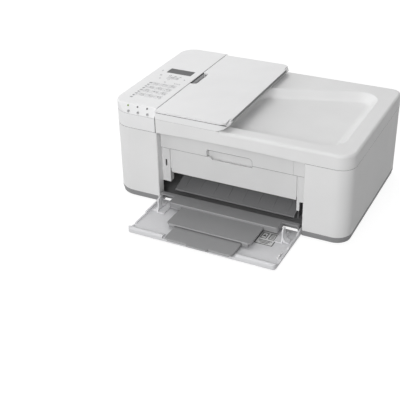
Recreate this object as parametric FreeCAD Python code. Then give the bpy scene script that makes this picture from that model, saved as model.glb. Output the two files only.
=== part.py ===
import FreeCAD, Part
import math
import os

V = FreeCAD.Vector
os.makedirs("parts", exist_ok=True)

# Case: overall sizes in millimetres, front of the pillars at y = 0 while modelling
CASE_W = 443.0
CASE_D = 295.0
FOOT_H = 3.0
FOOT_R = 9.0
BASE_H = 6.5
BODY_H = 129.5
RIM_H = 26.0
FEEDER_H = 16.0
WALL = 2.6
R_FRONT = 27.0
R_REAR = 20.0
R_FRONT_L = 40.0
R_REAR_L = 30.0
BASE_INSET = 1.5
BASE_FLOOR = 3.0
PILLAR_L = 93.5
PILLAR_R = 78.5
RECESS_D = 16.5
NOTCH_D = 16.0
SEAM_GAP = 0.6
SEAM_DEEP = 1.2
CREASE_H = 27.0
REAR_COVER_W = 230.0
REAR_COVER_H = 62.0
REAR_COVER_Z = 62.0
GROOVE = 0.9

# Front tray and the output tray that it carries
AXIS_BACK = 6.0
TRAY_UNDER = 4.0
TRAY_LEN = 121.0
TRAY_T = 3.0
TRAY_GAP = 0.8
TRAY_CORNER = 6.0
LIP_T = 5.0
LIP_H = 10.0
LIP_SLOPE = 12.0
LIP_DIP_H = 5.2
LIP_DIP_SIDE = 5.0
EAR_T = 3.0
EAR_ROUND = 4.0
SIDE_H = 7.0
SIDE_DROP = 2.5
SIDE_STEP = 62.0
PIN_R = 1.8
PIN_FIT = 0.05
PIN_GRIP = 6.0
UPPER_W = 206.0
UPPER_RISE = 13.0
UPPER_LEN = 31.0
LOWER_W = 156.0
LOWER_RISE = 8.0
LOWER_LEN = 86.0
EXT_W = 124.0
EXT_RISE = 4.0
EXT_LEN = 124.0
EXT_LAP = 14.0
TAB_W = 40.0
TAB_LEN = 4.5
PLATE_T = 2.5
EXT_T = 2.2
SLIDE_GAP = 0.5
ARM_T = 3.0
ARM_D = 8.0
ARM_ROUND = 3.6
SKIRT_H = 8.0
EDGE_ROUND = 0.8
GUIDE_SIDE = 1.0
GUIDE_T = 2.5
GUIDE_TALL = 23.0
GUIDE_LOW = 1.6
COVE_R = 10.0
GUIDE_TRAVEL = 36.0
GUIDE_GAP = 0.3
SLOT_SKIN = 1.0

# Front fascia and paper output cover
FASCIA_FOOT = 39.0
BAND_PROUD = 4.1
BAND_GROOVE = 23.0
COVER_MARGIN_L = 19.5
COVER_MARGIN_R = 17.5
COVER_FOOT = 60.0
COVER_H = 46.0
COVER_PROUD = 1.3
COVER_T = 3.0
COVER_GAP = 1.0
COVER_GAP_L = 4.0
RETURN_D = 12.0
RETURN_T = 2.0
COVER_PIN_SET = 6.4
GRIP_W = 84.0
GRIP_SIDE = 3.0
GRIP_UP = 13.0
GRIP_DOWN = 4.5
GRIP_D = 8.5
GRIP_APRON = 5.0
SCOOP_IN = 3.5
LATCH_W = 3.5
LATCH_H = 13.0
LATCH_FOOT = 69.5
STRIP_W = 5.0
SIDE_OPEN_TOP = 56.5

# Control panel on the left
PANEL_W = 91.2
PANEL_GAP = 1.0
PANEL_ROUND = 3.5
BEVEL_RUN = 10.0
BEVEL_ROUND = 5.0
LCD_W = 53.0
LCD_D = 22.0
LCD_Y = 161.0
LCD_INSET = 24.5
KEY_W = 10.0
KEY_D = 7.0
KEY_H = 0.8
KEY_GAP = 0.25
KEY_PITCH_X = 17.0
KEY_PITCH_Y = 17.0
BUTTON_R = 2.4
BUTTON_PITCH = 19.0
BUTTON_IN = 15.2
LAMP_R = 1.3
LAMP_LEAD = 3.0

# Lid, document feeder and scanner
LID_T = 2.6
PAD_T = 3.8
HINGE_BACK = 3.5
HINGE_UP = 7.0
POST_W = 14.0
LID_PIN_R = 1.5
FEEDER_W = 136.0
FLAP_T = 3.0
FLAP_GAP = 1.0
FLAP_BACK = 8.0
HINGE_GAP = 0.5
BOWL_D = 13.0
BOWL_FRONT = 25.0
BOWL_RIGHT = 28.0
BOWL_BACK_L = 96.0
BOWL_BACK_R = 26.0
BOWL_RUN = 16.0
NOTCH_W = 12.0
NOTCH_L = 57.0
NOTCH_Y = 131.0
NOTCH_DEEP = 6.0
GLASS_T = 3.0
GLASS_DROP = 1.8
GLASS_LEFT = 15.0
GLASS_RIGHT = 31.9
GLASS_FRONT = 32.5
GLASS_REAR = 40.5
PAN_CLEAR = 2.3
LID_ARCH = 2.6
SCAN_DEPTH = 27.0
SCAN_HEAD_W = 24.0
ROD_R = 3.0

# Print mechanism
PLATE_IN_L = 60.5
PLATE_IN_R = 22.5
CHASSIS_T = 2.0
SHAFT_R = 3.0
FEED_Y = 122.0
FEED_Z = 36.0
FEED_R = 8.0
EJECT_R = 7.0
EJECT_RUN = 44.0
MODULE = 1.0
FEED_TEETH = 28
IDLER_TEETH = 16
PINION_TEETH = 12
GEAR_T = 6.0
GEAR_GAP = 2.0
MOTOR_GAP = 0.6
FEED_MOTOR_L = 24.0
SHAFT_IN = 12.0
CARR_W = 64.0
CARR_D = 60.0
CARR_H = 56.0
CART_GAP = 0.4
STATION_SIDE = 4.0
RAIL_H = 38.0
RAIL_T = 3.0

# Places that follow from the sizes above
LEFT = -CASE_W / 2
RIGHT = CASE_W / 2
BASE_Z = FOOT_H
FLOOR_Z = BASE_Z + BASE_FLOOR
CASE_Z = BASE_Z + BASE_H
SEAM_Z = CASE_Z + BODY_H
RIM_Z = SEAM_Z + RIM_H
TOP_Z = RIM_Z + FEEDER_H
REC_L = LEFT + PILLAR_L
REC_R = RIGHT - PILLAR_R
MID = (REC_L + REC_R) / 2
AXIS_Y = AXIS_BACK
AXIS_Z = TRAY_UNDER + AXIS_BACK
TRAY_FLOOR = TRAY_UNDER + TRAY_T
TIP_Y = AXIS_Y - EXT_LEN - TAB_LEN
SHIFT_Y = -(TIP_Y + CASE_D) / 2
PANEL_R = LEFT + PANEL_W
LID_L = PANEL_R + PANEL_GAP
LID_Z = SEAM_Z + SEAM_GAP
FASCIA_BACK = RECESS_D + WALL
COVER_L = REC_L + COVER_MARGIN_L
COVER_R = REC_R - COVER_MARGIN_R
COVER_Y = RECESS_D - COVER_PROUD
BAND_Y = RECESS_D - BAND_PROUD
COVER_TOP = COVER_FOOT + COVER_H
SCAN_Z = SEAM_Z - SCAN_DEPTH
OPEN_L = COVER_L - COVER_GAP_L
OPEN_R = COVER_R + COVER_GAP
OPEN_TOP = COVER_TOP + COVER_GAP
GUIDE_HALF = min(MID - OPEN_L, OPEN_R - MID) - GUIDE_T - GUIDE_SIDE
PLATE_L = CASE_W / 2 - PLATE_IN_L
PLATE_R = CASE_W / 2 - PLATE_IN_R
glass_l = LID_L + GLASS_LEFT
glass_f = GLASS_FRONT
GLASS_W = RIGHT - GLASS_RIGHT - glass_l
GLASS_D = CASE_D - GLASS_FRONT - GLASS_REAR


def put(plane, a, b):
    """A point of a flat drawing, laid in one of the three main planes."""
    if plane == "xy":
        return V(a, b, 0)
    if plane == "yz":
        return V(0, a, b)
    return V(a, 0, b)


def outline(corners, plane):
    """Closed wire through corners (a, b) or (a, b, radius)."""
    ends = []
    for i, corner in enumerate(corners):
        before = corners[i - 1]
        after = corners[(i + 1) % len(corners)]
        here = V(corner[0], corner[1], 0)
        radius = corner[2] if len(corner) > 2 else 0
        if radius <= 0:
            ends.append((here, None, here))
            continue
        u = (V(before[0], before[1], 0) - here).normalize()
        w = (V(after[0], after[1], 0) - here).normalize()
        half = u.getAngle(w) / 2
        middle = (u + w).normalize()
        reach = radius / math.tan(half)
        bulge = here + middle * (radius / math.sin(half) - radius)
        ends.append((here + u * reach, bulge, here + w * reach))
    edges = []
    for i, (start, bulge, stop) in enumerate(ends):
        follow = ends[(i + 1) % len(ends)][0]
        points = [put(plane, p.x, p.y) for p in (start, stop, follow)]
        if bulge is not None:
            edges.append(Part.Arc(points[0], put(plane, bulge.x, bulge.y), points[1]).toShape())
        if (points[2] - points[1]).Length > 1e-6:
            edges.append(Part.makeLine(points[1], points[2]))
    return Part.Wire(edges)


def prism(corners, plane, low, high):
    """Solid made by pushing a flat drawing from low to high across its plane."""
    across = {"xy": V(0, 0, 1), "yz": V(1, 0, 0), "xz": V(0, 1, 0)}[plane]
    face = Part.Face(outline(corners, plane))
    face.translate(across * low)
    return face.extrude(across * (high - low))


def box(x0, x1, y0, y1, z0, z1):
    return Part.makeBox(x1 - x0, y1 - y0, z1 - z0, V(x0, y0, z0))


def slab(x0, x1, y0, y1, z0, z1, radius):
    """Box with its four upright edges rounded."""
    corners = [(x0, y0, radius), (x1, y0, radius), (x1, y1, radius), (x0, y1, radius)]
    return prism(corners, "xy", z0, z1)


def softened(shape, top, radius):
    """The same solid with the edges of its flat top rounded."""
    rim = [e for e in shape.Edges if e.BoundBox.ZMin > top - 0.01]
    return shape.makeFillet(radius, rim)


def rod(axis, start, stop, a, b, radius):
    """Round bar along one axis, at a and b on the other two."""
    if axis == "x":
        return Part.makeCylinder(radius, stop - start, V(start, a, b), V(1, 0, 0))
    if axis == "y":
        return Part.makeCylinder(radius, stop - start, V(a, start, b), V(0, 1, 0))
    return Part.makeCylinder(radius, stop - start, V(a, b, start), V(0, 0, 1))


def join(first, *others):
    return first.multiFuse(list(others)).removeSplitter() if others else first


def less(first, *others):
    return first.cut(list(others))


def across(side, a, b):
    """Two places measured from the tray's middle line towards one side, lower one first."""
    return sorted((MID + side * a, MID + side * b))


def mirrored(shape, x):
    return shape.mirror(V(x, 0, 0), V(1, 0, 0))


def case_plan(inset, recess, corner=0.0):
    """Outline of the case drawn in by inset, with the front recess between the pillars."""
    return [
        (LEFT + inset, inset, R_FRONT_L - inset),
        (REC_L - inset, inset, corner),
        (REC_L - inset, recess + inset),
        (REC_R + inset, recess + inset),
        (REC_R + inset, inset, corner),
        (RIGHT - inset, inset, R_FRONT - inset),
        (RIGHT - inset, CASE_D - inset, R_REAR - inset),
        (LEFT + inset, CASE_D - inset, R_REAR_L - inset),
    ]


def panel_plan(inset):
    """Outline of the control panel drawn in by inset."""
    return [
        (LEFT + inset, inset, R_FRONT_L - inset),
        (PANEL_R - inset, inset),
        (PANEL_R - inset, CASE_D - inset),
        (LEFT + inset, CASE_D - inset, R_REAR_L - inset),
    ]


def base_plan(inset):
    """Outline of the base, which stands in from the case and leaves room for the tray hinge."""
    edge = BASE_INSET + inset
    return [
        (LEFT + edge, edge, R_FRONT_L - edge),
        (REC_L - inset, edge),
        (REC_L - inset, NOTCH_D + inset),
        (REC_R + inset, NOTCH_D + inset),
        (REC_R + inset, edge),
        (RIGHT - edge, edge, R_FRONT - edge),
        (RIGHT - edge, CASE_D - edge, R_REAR - edge),
        (LEFT + edge, CASE_D - edge, R_REAR_L - edge),
    ]


nodes = {}

# Base: a shallow pan with a bearing block for the tray hinge inside each pillar
base = prism(base_plan(0), "xy", BASE_Z, CASE_Z)
base = less(base, prism(base_plan(WALL), "xy", FLOOR_Z, CASE_Z + 1))
BLOCK_R = REC_R + WALL
BLOCK_L = REC_L - WALL
BLOCK_HALF = 3.2
for low, high in ((BLOCK_R, BLOCK_R + PIN_GRIP), (BLOCK_L - PIN_GRIP, BLOCK_L)):
    block = box(low, high, AXIS_Y - BLOCK_HALF, AXIS_Y + BLOCK_HALF, BASE_Z, AXIS_Z + BLOCK_HALF)
    base = join(base, block)
    base = less(base, rod("x", low - WALL - 1, high + WALL + 1, AXIS_Y, AXIS_Z, PIN_R + PIN_FIT))

FOOT_SIDE = 38.0
FOOT_FRONT = 40.0
feet = []
for x in (LEFT + FOOT_SIDE, RIGHT - FOOT_SIDE):
    for y in (FOOT_FRONT, CASE_D - FOOT_FRONT):
        feet.append(rod("z", 0, FOOT_H, x, y, FOOT_R))
nodes["rubber_feet"] = Part.makeCompound(feet)

# Case shell: two rounded pillars with the open recess between them
case = prism(case_plan(0, RECESS_D, 2.0), "xy", CASE_Z, SEAM_Z)
case = less(case, prism(case_plan(WALL, RECESS_D), "xy", CASE_Z - 1, SEAM_Z + 1))
case = less(case, box(REC_L - WALL, REC_R + WALL, RECESS_D, FASCIA_BACK, CASE_Z - 1, SEAM_Z + 1))
SLOT_HALF = PIN_R + 1.2
for low, high in ((REC_L - WALL - 1, REC_L + 1), (REC_R - 1, REC_R + WALL + 1)):
    case = less(case, box(low, high, AXIS_Y - SLOT_HALF, AXIS_Y + SLOT_HALF, CASE_Z - 1, AXIS_Z + SLOT_HALF))
BEHIND = CASE_D - WALL
INLET_X = RIGHT - 70.0
INLET_W = 26.0
INLET_H = 18.0
INLET_Z = 30.0
JACK_X = LEFT + 45.0
JACK_W = 62.0
JACK_H = 18.0
case = less(case, box(INLET_X, INLET_X + INLET_W, BEHIND - 1, CASE_D + 1, INLET_Z, INLET_Z + INLET_H))
case = less(case, box(JACK_X, JACK_X + JACK_W, BEHIND - 1, CASE_D + 1, INLET_Z, INLET_Z + JACK_H))
rear_mid = (INLET_X + JACK_X + JACK_W) / 2
REAR_COVER_R = 6.0


def rear_cover(grow):
    """Shallow block in the back wall, as large as the rear cover and grown on all sides."""
    low = REAR_COVER_Z - grow
    high = REAR_COVER_Z + REAR_COVER_H + grow
    left = rear_mid - REAR_COVER_W / 2 - grow
    right = rear_mid + REAR_COVER_W / 2 + grow
    corners = [(left, low), (right, low), (right, high), (left, high)]
    radius = REAR_COVER_R + grow
    return prism([(x, z, radius) for x, z in corners], "xz", CASE_D - GROOVE, CASE_D + 1)


case = less(case, less(rear_cover(GROOVE), rear_cover(0)))
nodes["main_case"] = case

# Power inlet with two pins, and a block with one data and two telephone sockets
SOCKET_D = 22.0
inlet = box(INLET_X, INLET_X + INLET_W, CASE_D - SOCKET_D, CASE_D, INLET_Z, INLET_Z + INLET_H)
inlet_mid = INLET_X + INLET_W / 2
inlet_high = INLET_Z + INLET_H / 2
INLET_HOLE_W = 18.0
INLET_HOLE_H = 9.0
INLET_HOLE_D = 14.0
hole = prism(
    [
        (inlet_mid - INLET_HOLE_W / 2, inlet_high - INLET_HOLE_H / 2, 4.0),
        (inlet_mid + INLET_HOLE_W / 2, inlet_high - INLET_HOLE_H / 2, 4.0),
        (inlet_mid + INLET_HOLE_W / 2, inlet_high + INLET_HOLE_H / 2, 4.0),
        (inlet_mid - INLET_HOLE_W / 2, inlet_high + INLET_HOLE_H / 2, 4.0),
    ],
    "xz",
    CASE_D - INLET_HOLE_D,
    CASE_D + 1,
)
inlet = less(inlet, hole)
CONTACT_R = 1.2
CONTACT_APART = 8.6
for side in (-1, 1):
    x = inlet_mid + side * CONTACT_APART / 2
    inlet = join(inlet, rod("y", CASE_D - INLET_HOLE_D - 1, CASE_D - 4.0, x, inlet_high, CONTACT_R))
nodes["power_inlet"] = inlet

jacks = box(JACK_X, JACK_X + JACK_W, CASE_D - SOCKET_D, CASE_D, INLET_Z, INLET_Z + JACK_H)
JACK_HOLE_W = 12.0
JACK_HOLE_H = 11.0
JACK_HOLE_D = 13.0
JACK_PITCH = 19.0
for i in range(3):
    x = JACK_X + 6.0 + i * JACK_PITCH
    z = INLET_Z + (JACK_H - JACK_HOLE_H) / 2
    jacks = less(jacks, box(x, x + JACK_HOLE_W, CASE_D - JACK_HOLE_D, CASE_D + 1, z, z + JACK_HOLE_H))
nodes["signal_sockets"] = jacks

# Fascia behind the recess: a band that stands forward over the cover, and a leg down each side
fascia = box(REC_L - WALL, REC_R + WALL, RECESS_D, FASCIA_BACK, FASCIA_FOOT, SEAM_Z)
fascia = join(fascia, box(REC_L + SEAM_GAP, REC_R - SEAM_GAP, BAND_Y, FASCIA_BACK, OPEN_TOP, SEAM_Z))
fascia = less(fascia, box(OPEN_L, OPEN_R, RECESS_D - 1, FASCIA_BACK + 1, FASCIA_FOOT - 1, OPEN_TOP))
groove_x = REC_R - BAND_GROOVE
fascia = less(fascia, box(groove_x, groove_x + GROOVE, BAND_Y - 1, BAND_Y + GROOVE, OPEN_TOP - 1, SEAM_Z + 1))
for low, high in ((OPEN_L - RETURN_T, OPEN_L), (OPEN_R, OPEN_R + RETURN_T)):
    fascia = join(fascia, box(low, high, RECESS_D, RECESS_D + RETURN_D, FASCIA_FOOT, OPEN_TOP + WALL))
side_open = box(OPEN_R + STRIP_W, RIGHT, RECESS_D - 1, FASCIA_BACK + 1, FASCIA_FOOT - 1, SIDE_OPEN_TOP)
latch_x = (REC_L + OPEN_L - LATCH_W) / 2
latch = box(latch_x, latch_x + LATCH_W, RECESS_D - 1, FASCIA_BACK + 1, LATCH_FOOT, LATCH_FOOT + LATCH_H)
fascia = less(fascia, side_open, latch)

# Finger grip: a cup in the band, with an apron that closes it behind the scoop of the cover
grip_l = MID - GRIP_SIDE - GRIP_W / 2
grip_r = grip_l + GRIP_W
cup_back = BAND_Y + GRIP_D
GRIP_R = 7.0
GRIP_R_LEFT = 2.0


def grip(grow, foot, front, back):
    """Cup with a round right end, grown on its sides and top."""
    corners = [
        (grip_l - grow, foot),
        (grip_r + grow, foot),
        (grip_r + grow, OPEN_TOP + GRIP_UP + grow, GRIP_R + grow),
        (grip_l - grow, OPEN_TOP + GRIP_UP + grow, GRIP_R_LEFT + grow),
    ]
    return prism(corners, "xz", front, back)


fascia = join(fascia, grip(WALL, OPEN_TOP, RECESS_D, cup_back + WALL))
fascia = less(fascia, grip(0, OPEN_TOP - 1, BAND_Y - 1, cup_back))
apron_foot = COVER_TOP - GRIP_DOWN - GRIP_APRON
apron = box(grip_l - WALL, grip_r + WALL, cup_back, cup_back + WALL, apron_foot, OPEN_TOP + WALL)
fascia = join(fascia, apron)
COVER_AXIS_Y = COVER_Y + COVER_PIN_SET
COVER_AXIS_Z = COVER_FOOT + 1.5
BOSS_HALF = 4.4
BOSS_W = 6.0
for low, high in ((OPEN_R, OPEN_R + BOSS_W), (OPEN_L - BOSS_W, OPEN_L)):
    boss_z = (COVER_AXIS_Z - BOSS_HALF, COVER_AXIS_Z + BOSS_HALF)
    boss = box(low, high, RECESS_D, COVER_AXIS_Y + BOSS_HALF, *boss_z)
    fascia = join(fascia, boss)
    fascia = less(fascia, rod("x", low - 1, high + 1, COVER_AXIS_Y, COVER_AXIS_Z, PIN_R + PIN_FIT))
nodes["front_fascia"] = fascia

# Paper output cover: a ribbed panel hung on two pins at its lower edge
cover = box(COVER_L, COVER_R, COVER_Y, COVER_Y + COVER_T, COVER_FOOT, COVER_TOP)
SCOOP_R = 2.5
scoop = [
    (grip_l + SCOOP_IN, COVER_TOP + 1),
    (grip_l + SCOOP_IN + GRIP_DOWN, COVER_TOP - GRIP_DOWN, SCOOP_R),
    (grip_r, COVER_TOP - GRIP_DOWN, SCOOP_R),
    (grip_r, COVER_TOP + 1),
]
cover = less(cover, prism(scoop, "xz", COVER_Y - 1, COVER_Y + COVER_T + 1))
RIB_T = 1.6
RIB_D = 5.0
RIB_SIDE = 12.0
RIB_FOOT = 8.0
RIB_TOP = 6.0
COVER_RIBS = 7
for i in range(COVER_RIBS):
    x = COVER_L + RIB_SIDE + i * (COVER_R - COVER_L - 2 * RIB_SIDE - RIB_T) / (COVER_RIBS - 1)
    rib_top = COVER_TOP - GRIP_DOWN - RIB_TOP
    rib = box(x, x + RIB_T, COVER_Y + COVER_T, COVER_Y + COVER_T + RIB_D, COVER_FOOT + RIB_FOOT, rib_top)
    cover = join(cover, rib)
LUG_W = 4.0
LUG_R = 3.6
pin_r = (COVER_R, OPEN_R + BOSS_W - 1)
pin_l = (OPEN_L - BOSS_W + 1, COVER_L)
for low, high, ends in ((COVER_R - LUG_W, COVER_R, pin_r), (COVER_L, COVER_L + LUG_W, pin_l)):
    lug = join(
        box(low, high, COVER_Y + COVER_T - 1, COVER_AXIS_Y, COVER_AXIS_Z - 1.4, COVER_AXIS_Z + LUG_R),
        rod("x", low, high, COVER_AXIS_Y, COVER_AXIS_Z, LUG_R),
    )
    cover = join(cover, lug, rod("x", *ends, COVER_AXIS_Y, COVER_AXIS_Z, PIN_R))
nodes["paper_output_cover"] = cover

# Front tray: floor, rolled front lip, side walls that end in hinge ears, and the slots of the paper guides
tray_l = REC_L + TRAY_GAP
tray_r = REC_R - TRAY_GAP
tray_front = AXIS_Y - TRAY_LEN
TRAY_REAR = AXIS_Y - 3.0
lip_back = tray_front + LIP_T + LIP_SLOPE
LIP_ROUND = 3.0
lip = [
    (tray_front, TRAY_UNDER, 1.5),
    (lip_back, TRAY_UNDER),
    (lip_back, TRAY_FLOOR),
    (tray_front + LIP_T, TRAY_UNDER + LIP_H, LIP_ROUND),
    (tray_front, TRAY_UNDER + LIP_H, LIP_ROUND),
]
side_top = TRAY_UNDER + SIDE_H
step_y = AXIS_Y - SIDE_STEP
side = [
    (tray_front + TRAY_CORNER, TRAY_UNDER),
    (AXIS_Y + EAR_ROUND, TRAY_UNDER, EAR_ROUND - 0.1),
    (AXIS_Y + EAR_ROUND, AXIS_Z + EAR_ROUND, EAR_ROUND - 0.1),
    (AXIS_Y - 10.0, AXIS_Z + EAR_ROUND, 6.0),
    (AXIS_Y - 22.0, side_top, 6.0),
    (step_y + SIDE_DROP, side_top, 1.0),
    (step_y, side_top - SIDE_DROP),
    (tray_front + TRAY_CORNER, side_top - SIDE_DROP),
]
tray = join(
    box(tray_l, tray_r, lip_back, TRAY_REAR, TRAY_UNDER, TRAY_FLOOR),
    prism(lip, "yz", tray_l, tray_r),
    prism(side, "yz", tray_r - EAR_T, tray_r),
    prism(side, "yz", tray_l, tray_l + EAR_T),
)
tray_back = AXIS_Y + EAR_ROUND + 2 * TRAY_CORNER
tray = tray.common(slab(tray_l, tray_r, tray_front, tray_back, 0, AXIS_Z + EAR_T + EAR_ROUND, TRAY_CORNER))
dip_half = EXT_W / 2 + LIP_DIP_SIDE
dip_foot = TRAY_UNDER + LIP_DIP_H
tray = less(tray, box(MID - dip_half, MID + dip_half, tray_front - 1, lip_back, dip_foot, dip_foot + LIP_H))
arm_out = (tray_l + EAR_T + SLIDE_GAP, tray_r - EAR_T - SLIDE_GAP)
pin_r = rod("x", arm_out[1] - ARM_T, BLOCK_R + PIN_GRIP - 1, AXIS_Y, AXIS_Z, PIN_R)
pin_l = rod("x", BLOCK_L - PIN_GRIP + 1, arm_out[0] + ARM_T, AXIS_Y, AXIS_Z, PIN_R)
tray = join(tray, pin_r, pin_l)
CATCH_Y = 19.0
CATCH_L = 7.0
catch_y = tray_front + CATCH_Y
for x in (tray_l - 1, tray_r - EAR_T):
    tray = less(tray, box(x, x + EAR_T + 1, catch_y, catch_y + CATCH_L, TRAY_FLOOR, side_top + 1))
KEEL_T = 4.0
KEEL_Y = AXIS_Y - 26.0
KEEL_W = 10.0
keel_out = GUIDE_HALF - 1.0
slot_foot = TRAY_UNDER + SLOT_SKIN
for side in (-1, 1):
    ends = across(side, keel_out + GUIDE_GAP, keel_out - KEEL_W - GUIDE_TRAVEL - GUIDE_GAP)
    tray = less(tray, box(*ends, KEEL_Y - GUIDE_GAP, KEEL_Y + KEEL_T + GUIDE_GAP, slot_foot, TRAY_FLOOR + 1))
nodes["front_tray"] = tray

# Output tray: two steps in one moulding, with rails for the extension and arms hung on the tray's hinge pins
upper_top = AXIS_Z + UPPER_RISE
lower_top = AXIS_Z + LOWER_RISE
ext_top = AXIS_Z + EXT_RISE
upper_front = AXIS_Y - UPPER_LEN
lower_front = AXIS_Y - LOWER_LEN
UPPER_REAR = AXIS_Y - 2.0
UPPER_CORNER = 4.0
SKIRT_T = 2.0


def upper_block(inset, low, high):
    """Plan of the upper step, drawn in on its front and sides and open at the back."""
    half = UPPER_W / 2 - inset
    back = UPPER_REAR + 2 * UPPER_CORNER
    return slab(MID - half, MID + half, upper_front + inset, back, low, high, UPPER_CORNER - inset)


behind_upper = box(LEFT, RIGHT, UPPER_REAR, UPPER_REAR + 3 * UPPER_CORNER, 0, upper_top + 1)
upper_foot = upper_top - PLATE_T
upper = softened(upper_block(0, upper_foot, upper_top), upper_top, EDGE_ROUND)
lower_l = MID - LOWER_W / 2
lower_r = MID + LOWER_W / 2
lower_foot = lower_top - PLATE_T
lower_back = upper_front + SKIRT_T
LOWER_CORNER = 5.0
skirt = less(
    upper_block(0, upper_foot - SKIRT_H, upper_foot),
    upper_block(SKIRT_T, upper_foot - SKIRT_H - 1, upper_foot + 1),
    box(lower_l, lower_r, upper_front - 1, lower_back + 1, 0, lower_foot),
)
lower_y = (lower_front, lower_back + 2 * LOWER_CORNER)
lower = slab(lower_l, lower_r, *lower_y, lower_foot, lower_top, LOWER_CORNER)
lower = softened(lower, lower_top, EDGE_ROUND)
lower = less(lower, box(LEFT, RIGHT, lower_back, lower_back + 3 * LOWER_CORNER, 0, lower_top + 1))
rail_in = EXT_W / 2 + SLIDE_GAP
rail_foot = ext_top - EXT_T - SLIDE_GAP
RAIL_WALL = 2.0
RAIL_FOOT_T = 1.5
RAIL_FOOT_W = 3.5
LEG_D = 5.0
output = join(less(join(upper, skirt), behind_upper), lower)
for side in (-1, 1):
    wall_ends = across(side, rail_in, rail_in + RAIL_WALL)
    foot_ends = across(side, rail_in - RAIL_FOOT_W, rail_in + RAIL_WALL)
    leg_ends = across(side, rail_in, LOWER_W / 2 - LEG_D)
    rail_front = lower_front + LEG_D
    wall = box(*wall_ends, rail_front, upper_front, rail_foot - RAIL_FOOT_T, lower_foot)
    foot = box(*foot_ends, rail_front, upper_front, rail_foot - RAIL_FOOT_T, rail_foot)
    leg = box(*leg_ends, lower_front, rail_front, rail_foot - RAIL_FOOT_T, lower_foot)
    reach = arm_out[1] - MID if side > 0 else MID - arm_out[0]
    arm = box(*across(side, UPPER_W / 2 - 6, reach), UPPER_REAR - ARM_D, UPPER_REAR, upper_foot, upper_top)
    hanger = prism(
        [
            (UPPER_REAR - ARM_D, upper_top),
            (AXIS_Y - ARM_ROUND, AXIS_Z),
            (AXIS_Y - ARM_ROUND, AXIS_Z - ARM_ROUND, ARM_ROUND - 0.1),
            (AXIS_Y + ARM_ROUND, AXIS_Z - ARM_ROUND, ARM_ROUND - 0.1),
            (AXIS_Y + ARM_ROUND, AXIS_Z),
            (UPPER_REAR, upper_top),
        ],
        "yz",
        *across(side, reach - ARM_T, reach),
    )
    output = join(output, wall, foot, leg, arm, hanger)
output = less(output, rod("x", LEFT, RIGHT, AXIS_Y, AXIS_Z, PIN_R + PIN_FIT))
nodes["output_tray"] = output

# Extension: a flat tongue with a pull tab that runs in the rails under the output tray
ext_front = AXIS_Y - EXT_LEN
ext_foot = ext_top - EXT_T
extension = slab(MID - EXT_W / 2, MID + EXT_W / 2, ext_front, lower_front + EXT_LAP, ext_foot, ext_top, 5.0)
tab = slab(MID - TAB_W / 2, MID + TAB_W / 2, ext_front - TAB_LEN, ext_front + 10, ext_foot, ext_top, 3.0)
extension = softened(join(extension, tab), ext_top, EDGE_ROUND)
BEAD = 2.0
BEAD_SIDE = 6.0
bead_half = EXT_W / 2 - BEAD_SIDE
bead = box(MID - bead_half, MID + bead_half, ext_front, ext_front + BEAD, ext_foot - BEAD, ext_foot)
nodes["output_extension"] = join(extension, bead)

# Paper guides: a foot on the tray floor, a keel in its slot, a fin beside the paper and a hollow grip
GUIDE_FRONT = 49.0
GUIDE_BACK = 14.0
FIN_FRONT = 45.0
FIN_BACK = 33.5
FOOT_T = 2.0
FOOT_IN = 12.0
fin = [
    (AXIS_Y - GUIDE_FRONT, TRAY_FLOOR + GUIDE_GAP),
    (AXIS_Y - GUIDE_BACK, TRAY_FLOOR + GUIDE_GAP),
    (AXIS_Y - GUIDE_BACK, AXIS_Z + GUIDE_LOW, 2.0),
    (AXIS_Y - FIN_BACK, AXIS_Z + GUIDE_LOW, 0.5),
    (AXIS_Y - FIN_BACK - 1.0, AXIS_Z + GUIDE_TALL, 3.0),
    (AXIS_Y - FIN_FRONT, AXIS_Z + GUIDE_TALL, 6.0),
    (AXIS_Y - FIN_FRONT + 1.0, AXIS_Z + 6.0, 12.0),
    (AXIS_Y - GUIDE_FRONT, TRAY_FLOOR + FOOT_T, 1.0),
]
fin_in = MID + GUIDE_HALF
fin_out = fin_in + GUIDE_T
foot_top = TRAY_FLOOR + FOOT_T
foot_low = TRAY_FLOOR + GUIDE_GAP
fin_y = (AXIS_Y - FIN_FRONT, AXIS_Y - FIN_BACK)
cove_x = fin_out + COVE_R
cove_z = foot_top + COVE_R
guide = prism(fin, "yz", fin_in, fin_out)
foot_y = (AXIS_Y - GUIDE_FRONT, AXIS_Y - GUIDE_BACK)
guide_foot = slab(fin_in - FOOT_IN, fin_out, *foot_y, foot_low, foot_top, 2.0)
hold = box(fin_out, cove_x, *fin_y, foot_low, cove_z)
cove = rod("y", fin_y[0] - 1, fin_y[1] + 1, cove_x, cove_z, COVE_R)
keel = box(MID + keel_out - KEEL_W, MID + keel_out, KEEL_Y, KEEL_Y + KEEL_T, slot_foot + GUIDE_GAP, foot_top)
guide = join(guide, guide_foot, less(hold, cove), keel)
nodes["paper_guide_right"] = guide
nodes["paper_guide_left"] = mirrored(guide, MID)

# Chassis: two side plates that carry the rollers, the rail and the platen
EJECT_Y = FEED_Y - EJECT_RUN
IDLER_Y = EJECT_Y + EJECT_RUN / 2
RAIL_Y = FEED_Y + 28.0
RAIL_Z = FEED_Z + 34.0
RAIL_TOP = RAIL_Z + RAIL_H
plate = [
    (EJECT_Y - 12.0, FLOOR_Z),
    (RAIL_Y + 40.0, FLOOR_Z),
    (RAIL_Y + 40.0, RAIL_TOP - 30.0, 12.0),
    (RAIL_Y + RAIL_T + 5.0, RAIL_TOP, 4.0),
    (RAIL_Y - 6.0, RAIL_TOP, 4.0),
    (RAIL_Y - 6.0, FEED_Z + 20.0, 8.0),
    (EJECT_Y - 12.0, FEED_Z + 14.0, 8.0),
]
plate_l = prism(plate, "yz", -PLATE_L - CHASSIS_T, -PLATE_L)
plate_r = prism(plate, "yz", PLATE_R, PLATE_R + CHASSIS_T)
holes = [rod("x", -CASE_W, CASE_W, y, FEED_Z, SHAFT_R + PIN_FIT) for y in (FEED_Y, EJECT_Y)]
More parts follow.
